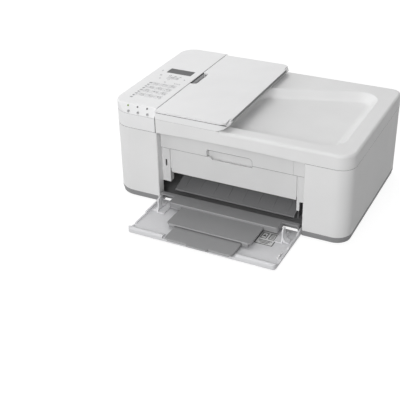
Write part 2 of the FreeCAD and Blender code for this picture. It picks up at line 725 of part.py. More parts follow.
GEAR_X = -PLATE_L - CHASSIS_T - GEAR_GAP - GEAR_T
pinion_run = MODULE * (FEED_TEETH + PINION_TEETH) / 2
MOTOR_Y = FEED_Y + pinion_run * math.sqrt(0.5)
MOTOR_Z = FEED_Z - pinion_run * math.sqrt(0.5)
FEED_MOTOR_R = pinion_run - FEED_R - MOTOR_GAP
SHAFT_STOP = -PLATE_L + SHAFT_IN
motor_hole = rod("x", -CASE_W, CASE_W, MOTOR_Y, MOTOR_Z, PIN_R + GEAR_GAP)
stub = rod("x", GEAR_X - 1.0, -PLATE_L - CHASSIS_T, IDLER_Y, FEED_Z, PIN_R)
plate_l = join(less(plate_l, motor_hole, *holes), stub)
nodes["chassis_plates"] = Part.makeCompound([plate_l, less(plate_r, *holes)])

# Carriage rail: a channel between the side plates, with the belt's idler post behind it
rail = box(-PLATE_L, PLATE_R, RAIL_Y, RAIL_Y + RAIL_T, RAIL_Z, RAIL_TOP)
RAIL_LIP = 4.0
RAIL_LIP_T = 2.0
rail = join(rail, box(-PLATE_L, PLATE_R, RAIL_Y - RAIL_LIP, RAIL_Y, RAIL_Z, RAIL_Z + RAIL_LIP_T))
BELT_R = 6.0
BELT_T = 1.2
BELT_H = 5.0
MOTOR_W = 28.0
belt_y = RAIL_Y + RAIL_T + MOTOR_W / 2
belt_z = RAIL_TOP - 12.0
BELT_IN_L = 20.0
BELT_IN_R = 16.0
SHELF_HALF = 8.0
belt_l = -PLATE_L + BELT_IN_L
belt_r = PLATE_R - BELT_IN_R
shelf_back = belt_y + SHELF_HALF
shelf = box(belt_r - SHELF_HALF, belt_r + SHELF_HALF, RAIL_Y + RAIL_T, shelf_back, belt_z - 5.0, belt_z - 2.0)
rail = join(rail, shelf, rod("z", belt_z - 2.0, belt_z + BELT_H + 1, belt_r, belt_y, BELT_R))
nodes["carriage_rail"] = rail
loop_out = BELT_R + BELT_T
loop = [
    (belt_l - loop_out, belt_y - loop_out, loop_out - 0.01),
    (belt_r + loop_out, belt_y - loop_out, loop_out - 0.01),
    (belt_r + loop_out, belt_y + loop_out, loop_out - 0.01),
    (belt_l - loop_out, belt_y + loop_out, loop_out - 0.01),
]
hollow = [
    (belt_l - BELT_R, belt_y - BELT_R, BELT_R - 0.01),
    (belt_r + BELT_R, belt_y - BELT_R, BELT_R - 0.01),
    (belt_r + BELT_R, belt_y + BELT_R, BELT_R - 0.01),
    (belt_l - BELT_R, belt_y + BELT_R, BELT_R - 0.01),
]
belt = less(prism(loop, "xy", belt_z, belt_z + BELT_H), prism(hollow, "xy", belt_z - 1, belt_z + BELT_H + 1))
nodes["carriage_belt"] = belt
MOTOR_H = 26.0
motor = slab(
    belt_l - MOTOR_W / 2, belt_l + MOTOR_W / 2, RAIL_Y + RAIL_T, RAIL_Y + RAIL_T + MOTOR_W,
    belt_z - 4.0 - MOTOR_H, belt_z - 4.0, 4.0,
)
nodes["carriage_motor"] = join(motor, rod("z", belt_z - 5.0, belt_z + BELT_H + 1, belt_l, belt_y, BELT_R))
STRIP_H = 8.0
STRIP_T = 0.5
strip_y = RAIL_Y - 2.0
strip_z = RAIL_TOP - 10.0
strip = box(-PLATE_L, PLATE_R, strip_y, strip_y + STRIP_T, strip_z, strip_z + STRIP_H)
nodes["encoder_strip"] = strip

# Carriage with two cartridges, parked at the right over the service station
CARR_PARK = 8.0
carr_l = PLATE_R - CARR_PARK - CARR_W
carr_r = carr_l + CARR_W
carr_z = FEED_Z + FEED_R + 2.0
carr_back = RAIL_Y - 5.0
carr_front = carr_back - CARR_D
carr_top = carr_z + CARR_H
CARR_T = 2.0
NOZZLE_FRONT = 10.0
NOZZLE_D = 24.0
NOZZLE_SIDE = 4.0
SHOE_H = 16.0
SHOE_IN = 6.0
carriage = box(carr_l, carr_r, carr_front, carr_back, carr_z, carr_top)
bay = (CARR_W - 3 * CARR_T) / 2
bays = []
for i in range(2):
    x = carr_l + CARR_T + i * (bay + CARR_T)
    bays.append((x, x + bay))
    room = box(x, x + bay, carr_front - 1, carr_back - CARR_T, carr_z + CARR_T, carr_top + 1)
    nozzle_y = (carr_front + NOZZLE_FRONT, carr_front + NOZZLE_FRONT + NOZZLE_D)
    window = box(x + NOZZLE_SIDE, x + bay - NOZZLE_SIDE, *nozzle_y, carr_z - 1, carr_z + CARR_T + 1)
    carriage = less(carriage, room, window)
shoe_foot = RAIL_Z + RAIL_LIP_T + CART_GAP
shoe = box(carr_l + SHOE_IN, carr_r - SHOE_IN, carr_back - 1, RAIL_Y - CART_GAP, shoe_foot, RAIL_Z + SHOE_H)
carriage = join(carriage, shoe)
CLAMP_W = 14.0
clamp_x = (carr_l + carr_r) / 2
clamp_top = RAIL_TOP + CART_GAP
clamp_ends = (clamp_x - CLAMP_W / 2, clamp_x + CLAMP_W / 2)
clamp_back = belt_y - loop_out - CART_GAP
clamp = box(*clamp_ends, carr_back - CARR_T, clamp_back, clamp_top, clamp_top + CARR_T)
tongue = box(*clamp_ends, clamp_back - CARR_T, clamp_back, belt_z, clamp_top)
back_post = box(*clamp_ends, carr_back - CARR_T, carr_back, carr_top - 1, clamp_top + CARR_T)
carriage = join(carriage, clamp, tongue, back_post)
nodes["carriage"] = carriage
CART_TOP = 4.0
for name, (low, high) in zip(("black_cartridge", "colour_cartridge"), bays):
    tank = prism(
        [
            (carr_front + 1.0, carr_z + CARR_T),
            (carr_back - CARR_T - CART_GAP, carr_z + CARR_T),
            (carr_back - CARR_T - CART_GAP, carr_top - CART_TOP, 3.0),
            (carr_front + 8.0, carr_top - CART_TOP, 4.0),
            (carr_front + 1.0, carr_z + 24.0, 4.0),
        ],
        "yz",
        low + CART_GAP,
        high - CART_GAP,
    )
    nose_front = carr_front + NOZZLE_FRONT + 1.0
    nose_back = nose_front + NOZZLE_D - 2.0
    nose_x = (low + NOZZLE_SIDE + 1, high - NOZZLE_SIDE - 1)
    nose = box(*nose_x, nose_front, nose_back, carr_z - 0.6, carr_z + CARR_T + 1)
    nodes[name] = join(tank, nose)

# Platen under the print line, with the chute that leads paper out over the tray
plat_front = EJECT_Y + EJECT_R + 1.5
plat_back = FEED_Y - FEED_R - 1.5
PLATEN_L = -PLATE_L
station_l = carr_l - STATION_SIDE
PLATEN_R = station_l
platen = box(PLATEN_L, PLATEN_R, plat_front, plat_back, FEED_Z - 4.0, FEED_Z + FEED_R - 3.0)
RIB_PITCH = 20.0
count = int((PLATEN_R - PLATEN_L - 10) / RIB_PITCH)
for i in range(count):
    x = PLATEN_L + 10 + i * RIB_PITCH
    rib = box(x, x + 2.0, plat_front, plat_back, FEED_Z + FEED_R - 3.5, FEED_Z + FEED_R - 1.0)
    platen = join(platen, rib)
nodes["print_platen"] = platen
CHUTE_W = 228.0
chute_front = AXIS_Y + UPPER_RISE + 2.0
chute_low = AXIS_Z + UPPER_RISE
chute_back = EJECT_Y - EJECT_R - 2.0
chute_high = FEED_Z + 3.0
chute_l = MID - CHUTE_W / 2
chute = prism(
    [
        (chute_front, chute_low - PLATE_T),
        (chute_back, chute_high - PLATE_T),
        (chute_back, chute_high),
        (chute_front, chute_low),
    ],
    "yz",
    chute_l,
    chute_l + CHUTE_W,
)
LEG_T = 3.0
for x in (chute_l, chute_l + CHUTE_W - LEG_T):
    leg = prism(
        [
            (chute_back - 24.0, FLOOR_Z),
            (chute_back, FLOOR_Z),
            (chute_back, chute_high),
            (chute_back - 24.0, chute_high - 24.0 * (chute_high - chute_low) / (chute_back - chute_front)),
        ],
        "yz",
        x,
        x + LEG_T,
    )
    chute = join(chute, leg)
CHUTE_RIBS = 8
for i in range(CHUTE_RIBS):
    x = chute_l + 14.0 + i * (CHUTE_W - 28.0 - 2.0) / (CHUTE_RIBS - 1)
    rib = prism(
        [
            (chute_front + 4.0, chute_low - 1.0),
            (chute_back, chute_high - 1.0),
            (chute_back, chute_high + 1.5, 1.0),
            (chute_front + 4.0, chute_low + 1.6, 0.8),
        ],
        "yz",
        x,
        x + 2.0,
    )
    chute = join(chute, rib)
nodes["output_chute"] = chute

# Service station under the parked carriage, with one cap for each cartridge
station = box(station_l, PLATE_R, plat_front, plat_back + 4.0, FLOOR_Z, FEED_Z + 2.0)
for low, high in bays:
    station = join(
        station,
        slab(low + 3, high - 3, carr_front + 9, plat_back + 3, FEED_Z + 1.0, carr_z - 1.2, 2.0),
    )
nodes["service_station"] = station


def gear(teeth, y, z, x, width, bore, turn):
    """Spur wheel about the X axis with tapered teeth and a little backlash."""
    pitch_r = MODULE * teeth / 2
    root = pitch_r - 1.2 * MODULE
    tip = pitch_r + 0.8 * MODULE
    wheel = Part.makeCylinder(root, width, V(x, y, z), V(1, 0, 0))
    wide = 0.92 * MODULE
    narrow = 0.36 * MODULE
    flank = [(root - 0.5, -wide), (root - 0.5, wide), (tip, narrow), (tip, -narrow)]
    tooth = prism(flank, "yz", x, x + width)
    cogs = []
    for i in range(teeth):
        cog = tooth.copy()
        cog.rotate(V(0, 0, 0), V(1, 0, 0), turn + 360.0 * i / teeth)
        cog.translate(V(0, y, z))
        cogs.append(cog)
    wheel = wheel.multiFuse(cogs)
    if bore:
        wheel = wheel.cut(Part.makeCylinder(bore, width + 2, V(x - 1, y, z), V(1, 0, 0)))
    return wheel


# Rollers and the gear train on the outside of the left side plate
SLEEVE = 26.0
ROLLER_GAP = 4.0
shaft_end = PLATE_R + CHASSIS_T + 3.0


def roller(y, radius, count):
    """Shaft through both side plates with a row of rubber sleeves."""
    body = rod("x", GEAR_X, shaft_end, y, FEED_Z, SHAFT_R)
    span = station_l + PLATE_L - 2 * ROLLER_GAP
    step = (span - SLEEVE) / (count - 1)
    for i in range(count):
        x = -PLATE_L + ROLLER_GAP + i * step
        body = join(body, rod("x", x, x + SLEEVE, y, FEED_Z, radius))
    return body


idler_turn = 180.0 / IDLER_TEETH
feed_gear = gear(FEED_TEETH, FEED_Y, FEED_Z, GEAR_X, GEAR_T, 0, 0.0)
eject_gear = gear(FEED_TEETH, EJECT_Y, FEED_Z, GEAR_X, GEAR_T, 0, 0.0)
nodes["feed_roller"] = join(roller(FEED_Y, FEED_R, 7), feed_gear)
nodes["eject_roller"] = join(roller(EJECT_Y, EJECT_R, 7), eject_gear)
nodes["idler_gear"] = gear(IDLER_TEETH, IDLER_Y, FEED_Z, GEAR_X, GEAR_T, PIN_R + PIN_FIT, idler_turn)
pinion = gear(PINION_TEETH, MOTOR_Y, MOTOR_Z, GEAR_X, GEAR_T, 0, 180.0 / PINION_TEETH)
motor_shaft = rod("x", GEAR_X, SHAFT_STOP, MOTOR_Y, MOTOR_Z, PIN_R)
nodes["motor_pinion"] = join(pinion, motor_shaft)
motor = rod("x", -PLATE_L, -PLATE_L + FEED_MOTOR_L, MOTOR_Y, MOTOR_Z, FEED_MOTOR_R)
nodes["feed_motor"] = less(motor, rod("x", -PLATE_L - 1, SHAFT_STOP + 1, MOTOR_Y, MOTOR_Z, PIN_R + PIN_FIT))

# Pick-up roller that turns the sheet round at the back
PICK_R = 20.0
PICK_W = 66.0
PICK_Y = CASE_D - 48.0
PICK_Z = FLOOR_Z + PICK_R + 6.0
BEARING = 4.0
pick = join(
    rod("x", MID - PICK_W / 2, MID + PICK_W / 2, PICK_Y, PICK_Z, PICK_R),
    rod("x", MID - PICK_W / 2 - 14, MID + PICK_W / 2 + 14, PICK_Y, PICK_Z, SHAFT_R),
)
nodes["pickup_roller"] = pick
holders = []
for x in (MID - PICK_W / 2 - 12, MID + PICK_W / 2 + 8):
    holder = prism(
        [
            (PICK_Y - 12.0, FLOOR_Z),
            (PICK_Y + 12.0, FLOOR_Z),
            (PICK_Y + 6.0, PICK_Z + 7.0, 4.0),
            (PICK_Y - 6.0, PICK_Z + 7.0, 4.0),
        ],
        "yz",
        x,
        x + BEARING,
    )
    holders.append(less(holder, rod("x", x - 1, x + BEARING + 1, PICK_Y, PICK_Z, SHAFT_R + PIN_FIT)))
nodes["base_tray"] = join(base, *holders)

# Circuit board on edge in the left pillar and power supply in the right rear corner
BOARD_T = 1.6
board_x = LEFT + WALL + 8.0
BOARD_FRONT = 60.0
BOARD_REAR = 65.0
BOARD_DOWN = 10.0
board_y = (BOARD_FRONT, CASE_D - BOARD_REAR)
nodes["main_board"] = box(board_x, board_x + BOARD_T, *board_y, FLOOR_Z, SCAN_Z - BOARD_DOWN)
SUPPLY_W = 90.0
SUPPLY_D = 52.0
SUPPLY_H = 46.0
supply_r = RIGHT - WALL - 8.0
supply_back = CASE_D - SOCKET_D
nodes["power_supply"] = box(
    supply_r - SUPPLY_W, supply_r, supply_back - SUPPLY_D, supply_back, FLOOR_Z, FLOOR_Z + SUPPLY_H,
)

# Scanner: a pan inside the top of the case, with the glass set into its top plate
pan = prism(case_plan(WALL, RECESS_D), "xy", SCAN_Z, SEAM_Z)
pan = pan.common(box(PANEL_R, RIGHT, 0, CASE_D, SCAN_Z, SEAM_Z))
PAN_T = 2.4
LEDGE = 4.0
PAD_GAP = 0.2
glass_top = SEAM_Z - GLASS_DROP
pan_in_l = PANEL_R + PAN_T
pan_in_r = RIGHT - WALL - PAN_T
PAN_FRONT = glass_f - PAN_CLEAR
pan_roof = glass_top - GLASS_T - 2.0
hollow = prism(case_plan(WALL + PAN_T, RECESS_D), "xy", SCAN_Z + PAN_T, pan_roof)
hollow = hollow.common(box(pan_in_l, pan_in_r, PAN_FRONT, CASE_D, SCAN_Z, SEAM_Z))
window = box(
    glass_l + LEDGE, glass_l + GLASS_W - LEDGE, glass_f + LEDGE, glass_f + GLASS_D - LEDGE,
    glass_top - GLASS_T - 3.0, SEAM_Z + 1,
)
seat = box(glass_l, glass_l + GLASS_W, glass_f, glass_f + GLASS_D, glass_top - GLASS_T, SEAM_Z + 1)
pan = less(pan, hollow, window, seat)
grip_room = box(grip_l - WALL, grip_r + WALL, 0, cup_back + WALL, SCAN_Z - 1, OPEN_TOP + GRIP_UP + WALL)
pan = less(pan, grip_room)
rod_y = glass_f + GLASS_D / 2
rod_z = SCAN_Z + PAN_T + ROD_R + 1.0
nodes["scanner_frame"] = pan
nodes["platen_glass"] = box(
    glass_l, glass_l + GLASS_W, glass_f, glass_f + GLASS_D, glass_top - GLASS_T, glass_top,
)
nodes["scan_rod"] = rod("x", pan_in_l, pan_in_r, rod_y, rod_z, ROD_R)
HEAD_H = 8.0
head_l = pan_in_l + 6.0
head_top = glass_top - GLASS_T - 2.6
head = box(head_l, head_l + SCAN_HEAD_W, glass_f, glass_f + GLASS_D, head_top - HEAD_H, head_top)
saddle = box(
    head_l, head_l + SCAN_HEAD_W, rod_y - 7.0, rod_y + 7.0, rod_z - ROD_R - 0.5, head_top - HEAD_H + 1.0,
)
head = join(head, saddle)
nodes["scan_head"] = less(head, rod("x", head_l - 1, head_l + SCAN_HEAD_W + 1, rod_y, rod_z, ROD_R + PIN_FIT))

# Control panel: a rounded block whose front slopes down to the crease
CREASE_Z = SEAM_Z + CREASE_H
panel = prism(panel_plan(0), "xy", SEAM_Z, TOP_Z)
rim = [
    e for e in panel.Edges
    if min(v.Point.z for v in e.Vertexes) > TOP_Z - 0.01 and min(v.Point.x for v in e.Vertexes) < PANEL_R - 1
]
panel = panel.makeFillet(PANEL_ROUND, rim)
seam = prism(panel_plan(-1), "xy", SEAM_Z - 1, SEAM_Z + SEAM_GAP)
panel = less(panel, less(seam, prism(panel_plan(SEAM_DEEP), "xy", SEAM_Z - 1, SEAM_Z + SEAM_GAP)))
slope = prism(
    [
        (-1, SEAM_Z - 1),
        (CASE_D + 1, SEAM_Z - 1),
        (CASE_D + 1, TOP_Z),
        (BEVEL_RUN, TOP_Z, BEVEL_ROUND),
        (0, CREASE_Z),
        (-1, CREASE_Z),
    ],
    "yz",
    LEFT - 1,
    PANEL_R + 1,
)
panel = panel.common(slope)
inside = prism(panel_plan(WALL), "xy", SEAM_Z - 1, TOP_Z - WALL)
tilt = math.atan2(TOP_Z - CREASE_Z, BEVEL_RUN)
drop = WALL / math.cos(tilt)
room = prism(
    [
        (0, SEAM_Z - 1),
        (CASE_D, SEAM_Z - 1),
        (CASE_D, TOP_Z - WALL),
        ((TOP_Z - WALL - CREASE_Z + drop) / math.tan(tilt), TOP_Z - WALL),
        (0, CREASE_Z - drop),
    ],
    "yz",
    LEFT,
    PANEL_R,
)
panel = less(panel, inside.common(room))
lcd_l = LEFT + LCD_INSET
LCD_T = 1.2
LCD_SET = 0.4
LCD_LEDGE = 2.0
panel = less(panel, box(lcd_l, lcd_l + LCD_W, LCD_Y, LCD_Y + LCD_D, TOP_Z - LCD_SET - LCD_T, TOP_Z + 1))
panel = less(
    panel,
    box(
        lcd_l + LCD_LEDGE, lcd_l + LCD_W - LCD_LEDGE, LCD_Y + LCD_LEDGE, LCD_Y + LCD_D - LCD_LEDGE,
        TOP_Z - WALL - 1, TOP_Z,
    ),
)
nodes["lcd_window"] = box(
    lcd_l, lcd_l + LCD_W, LCD_Y, LCD_Y + LCD_D, TOP_Z - LCD_SET - LCD_T, TOP_Z - LCD_SET,
)

# Keys: a cap that stands a little proud and a flange that keeps it in its hole
FLANGE = 1.2
FLANGE_T = 1.2
KEY_FREE = 0.3
key_low = TOP_Z - WALL - KEY_FREE


def key(x, y, wide, deep):
    """Cap and flange of one key, and the hole that it runs in."""
    cap = slab(x - wide / 2, x + wide / 2, y - deep / 2, y + deep / 2, key_low - 0.5, TOP_Z + KEY_H, 1.5)
    flange = box(
        x - wide / 2 - FLANGE, x + wide / 2 + FLANGE, y - deep / 2 - FLANGE, y + deep / 2 + FLANGE,
        key_low - FLANGE_T, key_low,
    )
    hole = slab(
        x - wide / 2 - KEY_GAP, x + wide / 2 + KEY_GAP, y - deep / 2 - KEY_GAP, y + deep / 2 + KEY_GAP,
        TOP_Z - WALL - 1, TOP_Z + 1, 1.5 + KEY_GAP,
    )
    return join(cap, flange), hole


KEY_X = lcd_l + 11.0
KEY_FRONT = 52.0
names = (("star", "0", "hash"), ("7", "8", "9"), ("4", "5", "6"), ("1", "2", "3"))
for row, line in enumerate(names):
    for column, name in enumerate(line):
        shape, hole = key(KEY_X + column * KEY_PITCH_X, KEY_FRONT + row * KEY_PITCH_Y, KEY_W, KEY_D)
        panel = less(panel, hole)
        nodes["key_" + name] = shape
MENU_Y = KEY_FRONT + 4 * KEY_PITCH_Y + 20.0
OK_W = 18.0
shape, hole = key(KEY_X + KEY_PITCH_X, MENU_Y, OK_W, KEY_D)
panel = less(panel, hole)
nodes["key_ok"] = shape

# Lamps and round buttons on the sloping front of the panel
normal = V(0, -math.sin(tilt), math.cos(tilt))
BUTTON_FLANGE = 0.8
BUTTON_X = PANEL_R - BUTTON_IN - 2 * BUTTON_PITCH
LAMP_AT = 0.78
BUTTON_AT = 0.24
BUTTON_PROUD = 0.6
lamps = []
for column, name in enumerate(("power", "stop", "start")):
    x = BUTTON_X + column * BUTTON_PITCH
    low = V(x, BEVEL_RUN * BUTTON_AT, CREASE_Z + (TOP_Z - CREASE_Z) * BUTTON_AT)
    high = V(x - LAMP_LEAD, BEVEL_RUN * LAMP_AT, CREASE_Z + (TOP_Z - CREASE_Z) * LAMP_AT)
    deep = WALL + KEY_FREE + FLANGE_T
    stem = Part.makeCylinder(BUTTON_R, deep + BUTTON_PROUD, low - normal * deep, normal)
    collar = Part.makeCylinder(BUTTON_R + BUTTON_FLANGE, FLANGE_T, low - normal * deep, normal)
    nodes["button_" + name] = join(stem, collar)
    hole = Part.makeCylinder(BUTTON_R + KEY_GAP, WALL + 3.0, low - normal * (WALL + 1.5), normal)
    panel = less(panel, hole)
    lamps.append(Part.makeCylinder(LAMP_R, WALL + 0.2, high - normal * WALL, normal))
    panel = less(panel, Part.makeCylinder(LAMP_R, WALL + 3.0, high - normal * (WALL + 1.5), normal))
nodes["control_panel"] = panel
nodes["status_lamps"] = Part.makeCompound(lamps)

# Lid hinge posts on the rear edge of the scanner
hinge_y = CASE_D - HINGE_BACK
hinge_z = SEAM_Z + HINGE_UP
POST_AT = (LID_L + 45.0, RIGHT - 60.0)
POST_R = 3.2
posts = []
for x in POST_AT:
    post = join(
        box(x, x + POST_W, hinge_y - POST_R, hinge_y + POST_R, SEAM_Z, hinge_z),
        rod("x", x, x + POST_W, hinge_y, hinge_z, POST_R),
    )
    posts.append(less(post, rod("x", x - 1, x + POST_W + 1, hinge_y, hinge_z, LID_PIN_R + PIN_FIT)))
nodes["scanner_frame"] = join(pan, *posts)

# Lid: a rounded cover with the document bowl pressed into its top and ribs below
lid = prism(
    [(LID_L, 0), (RIGHT, 0, R_FRONT), (RIGHT, CASE_D, R_REAR), (LID_L, CASE_D)],
    "xy",
    LID_Z,
    RIM_Z,
)
edge = [
    e for e in lid.Edges
    if min(v.Point.z for v in e.Vertexes) > RIM_Z - 0.01 and max(v.Point.x for v in e.Vertexes) > LID_L + 1
    and not (abs(e.BoundBox.XLength) < 0.01 and abs(e.BoundBox.XMin - LID_L) < 0.01)
]
RIM_ROUND = 5.0
lid = lid.makeFillet(RIM_ROUND, edge)
FEEDER_R = LID_L + FEEDER_W
shoulder = box(LID_L, FEEDER_R - 16.0, 0, RIM_ROUND + 3.0, RIM_Z - RIM_ROUND - 1.0, RIM_Z)
lid = join(lid, shoulder)
lid_in = prism(
    [
        (LID_L + LID_T, LID_T),
        (RIGHT - LID_T, LID_T, R_FRONT - LID_T),
        (RIGHT - LID_T, CASE_D - LID_T, R_REAR - LID_T),
        (LID_L + LID_T, CASE_D - LID_T),
    ],
    "xy",
    LID_Z - 1,
    RIM_Z - LID_T,
)
BOWL_L = FEEDER_R - 30.0
bowl_r = RIGHT - BOWL_RIGHT
BOWL_CORNER = 34.0
BOWL_ROUND = 14.0


def bowl_plan(inset):
    """Outline of the bowl drawn in by inset; its rear edge runs back towards the right."""
    corner = BOWL_CORNER - inset
    lean = (BOWL_BACK_L - BOWL_BACK_R) / (bowl_r - BOWL_L)
    drawn = inset * math.sqrt(1 + lean ** 2)
    return [
        (BOWL_L + inset, BOWL_FRONT + inset, corner),
        (bowl_r - inset, BOWL_FRONT + inset, corner),
        (bowl_r - inset, CASE_D - BOWL_BACK_R - drawn - inset * lean, corner),
        (BOWL_L + inset, CASE_D - BOWL_BACK_L - drawn + inset * lean, corner),
    ]


def bowl(grow, floor):
    """Bowl with sloping sides and a rounded floor, grown on all sides."""
    slope = BOWL_RUN / BOWL_D
    low = outline(bowl_plan(BOWL_RUN - grow), "xy")
    low.translate(V(0, 0, floor))
    high = outline(bowl_plan(-slope - grow), "xy")
    high.translate(V(0, 0, floor + BOWL_D + 1))
    shape = Part.makeLoft([low, high], True, True)
    ring = [e for e in shape.Edges if max(v.Point.z for v in e.Vertexes) < floor + 0.01]
    return shape.makeFillet(BOWL_ROUND, ring)


bowl_floor = RIM_Z - BOWL_D
lid_in = less(lid_in, bowl(LID_T, bowl_floor - LID_T))
lid = less(lid, lid_in, bowl(0, bowl_floor))
pad_top = glass_top + PAD_GAP + PAD_T
pad_l = glass_l + 1.5
pad_r = glass_l + GLASS_W - 1.5
pad_f = glass_f + 1.5
pad_b = glass_f + GLASS_D - 1.5
RIB_L = 2.0
ribs = []
for i in range(4):
    x = pad_l + 8 + i * (pad_r - pad_l - 16 - RIB_L) / 3
    ribs.append(box(x, x + RIB_L, LID_T, CASE_D - LID_T, pad_top, RIM_Z - LID_T / 2))
for i in range(3):
    y = pad_f + 8 + i * (pad_b - pad_f - 16 - RIB_L) / 2
    ribs.append(box(LID_L + LID_T, RIGHT - LID_T, y, y + RIB_L, pad_top, RIM_Z - LID_T / 2))
grid = ribs[0].multiFuse(ribs[1:]).common(lid_in)
lid = join(lid, grid)
CHAMFER = 3.2
lid = less(
    lid,
    prism(
        [(CASE_D + 1, LID_Z - 1), (CASE_D + 1, LID_Z + CHAMFER + 1), (CASE_D - CHAMFER - 2, LID_Z - 1)],
        "yz",
        LEFT,
        RIGHT,
    ),
)
POST_GAP = 0.6
for x in POST_AT:
    room_r = POST_R + POST_GAP
    pocket_x = (x - POST_GAP, x + POST_W + POST_GAP)
    pocket = box(*pocket_x, hinge_y - room_r, CASE_D + 1, LID_Z - 1, hinge_z + room_r)
    cheek_x = (x - POST_GAP - LID_T, x + POST_W + POST_GAP + LID_T)
    cheek_y = (hinge_y - room_r - LID_T, CASE_D - LID_T / 2)
    cheeks = box(*cheek_x, *cheek_y, LID_Z + CHAMFER, hinge_z + room_r + LID_T)
    lid = less(join(lid, cheeks), pocket)
    lid = join(lid, rod("x", *cheek_x, hinge_y, hinge_z, LID_PIN_R))
arch = Part.Wire([
    Part.Arc(V(REC_L, 0, LID_Z), V(MID, 0, LID_Z + LID_ARCH), V(REC_R, 0, LID_Z)).toShape(),
    Part.makeLine(V(REC_R, 0, LID_Z), V(REC_L, 0, LID_Z)),
])
arch = Part.Face(arch)
arch.translate(V(0, -1, 0))
lid = less(lid, arch.extrude(V(0, LID_T + 1.5, 0)))
nodes["document_cover"] = lid
nodes["lid_pad"] = box(pad_l, pad_r, pad_f, pad_b, glass_top + PAD_GAP, pad_top)

# Document feeder: a housing on the left of the lid with an exit slot over the bowl
SLOT_H = 6.0
SLOT_D = 24.0
flap_z = TOP_Z - FLAP_T
FEEDER_B = CASE_D - FLAP_BACK
housing = prism(
    [(LID_L, 0), (FEEDER_R, 0, 16.0), (FEEDER_R, FEEDER_B, 16.0), (LID_L, FEEDER_B)],
    "xy",
    RIM_Z,
    flap_z - FLAP_GAP,
)
CURL_W = 22.0
CURL_H = 10.0
curl = prism(
    [
        (LID_L, RIM_Z),
        (FEEDER_R - CURL_W, RIM_Z, 30.0),
        (FEEDER_R - CURL_W * 0.36, RIM_Z + CURL_H * 0.48, 20.0),
        (FEEDER_R, RIM_Z + CURL_H),
        (FEEDER_R, TOP_Z),
        (LID_L, TOP_Z),
    ],
    "xz",
    -1,
    CASE_D,
)
housing = housing.common(curl)
housing_in = box(
    LID_L + WALL, FEEDER_R - SLOT_D, WALL * 2, FEEDER_B - WALL * 2, RIM_Z + WALL, flap_z + 1,
)
exit_f = BOWL_FRONT + BOWL_RUN
exit_b = CASE_D - BOWL_BACK_L - BOWL_RUN
exit_slot = box(FEEDER_R - SLOT_D, FEEDER_R + 1, exit_f, exit_b, RIM_Z - 1, RIM_Z + SLOT_H)
housing = less(housing, housing_in, exit_slot)
FLAP_R = FLAP_T / 2
flap_x = FEEDER_R - FLAP_R - 1.0
flap_axis = TOP_Z - FLAP_R
FLAP_PIN_R = 0.9
FLAP_END = 17.0
FLAP_LUG = 6.5
barrel_f = FLAP_END + FLAP_LUG + HINGE_GAP
barrel_b = FEEDER_B - barrel_f
for y in (FLAP_END, FEEDER_B - FLAP_END - FLAP_LUG):
    lug = join(
        box(flap_x - FLAP_R, flap_x + FLAP_R, y, y + FLAP_LUG, flap_z - FLAP_GAP - 1.0, flap_axis),
        rod("y", y, y + FLAP_LUG, flap_x, flap_axis, FLAP_R),
    )
    bore = rod("y", y - 1, y + FLAP_LUG + 1, flap_x, flap_axis, FLAP_PIN_R + PIN_FIT)
    housing = join(housing, less(lug, bore))
feed_x = LID_L + 42.0
DOC_R = 4.4
DOC_GAP = 0.6
DOC_PIN_R = 2.0
doc_z = RIM_Z + WALL + DOC_GAP + DOC_R
for y in (WALL * 2, FEEDER_B - WALL * 2 - BEARING):
    bracket = box(feed_x - 5, feed_x + 5, y, y + BEARING, RIM_Z + WALL, doc_z + DOC_PIN_R + 1.4)
    housing = join(housing, bracket)
doc_front = 2 * WALL + DOC_GAP
doc_back = FEEDER_B - 2 * WALL - DOC_GAP
housing = less(housing, rod("y", 2 * WALL - 1, FEEDER_B - 2 * WALL + 1, feed_x, doc_z, DOC_PIN_R + PIN_FIT))
cup_floor = flap_z - FLAP_GAP - NOTCH_DEEP
notch_back = NOTCH_Y + NOTCH_L
notch_r = LID_L + NOTCH_W
cup = box(LID_L, notch_r + WALL, NOTCH_Y - WALL, notch_back + WALL, cup_floor - WALL, flap_z - FLAP_GAP)
cup_in = box(LID_L - 1, notch_r, NOTCH_Y, notch_back, cup_floor, flap_z + 1)
housing = less(join(housing, cup), cup_in)
nodes["feeder_housing"] = housing
roll = rod("y", doc_front, doc_back, feed_x, doc_z, DOC_PIN_R)
TYRE_L = 36.0
TYRE_APART = 22.0
doc_mid = (doc_front + doc_back) / 2
for y in (doc_mid - TYRE_APART / 2 - TYRE_L, doc_mid + TYRE_APART / 2):
    roll = join(roll, rod("y", y, y + TYRE_L, feed_x, doc_z, DOC_R))
nodes["feeder_roller"] = roll

# Document tray: the flat top of the feeder, which flips over to the right
flap = prism(
    [(LID_L, 0), (flap_x, 0, 14.0), (flap_x, FEEDER_B, 14.0), (LID_L, FEEDER_B)],
    "xy",
    flap_z,
    TOP_Z,
)
for low, high in ((-1, barrel_f), (barrel_b, FEEDER_B + 1)):
    flap = less(flap, box(flap_x - FLAP_R - 2 * HINGE_GAP, RIGHT, low, high, flap_z - 1, TOP_Z + 1))
barrel = rod("y", barrel_f, barrel_b, flap_x, flap_axis, FLAP_R)
flap_pin = rod("y", FLAP_END + HINGE_GAP, FEEDER_B - FLAP_END - HINGE_GAP, flap_x, flap_axis, FLAP_PIN_R)
flap = join(flap, barrel, flap_pin)
notch = prism(
    [
        (LID_L - 1, NOTCH_Y),
        (LID_L + NOTCH_W, NOTCH_Y + 3.0, 5.0),
        (LID_L + NOTCH_W, NOTCH_Y + NOTCH_L - 3.0, 5.0),
        (LID_L - 1, NOTCH_Y + NOTCH_L),
    ],
    "xy",
    flap_z - 1,
    TOP_Z + 1,
)
nodes["document_tray"] = less(flap, notch)

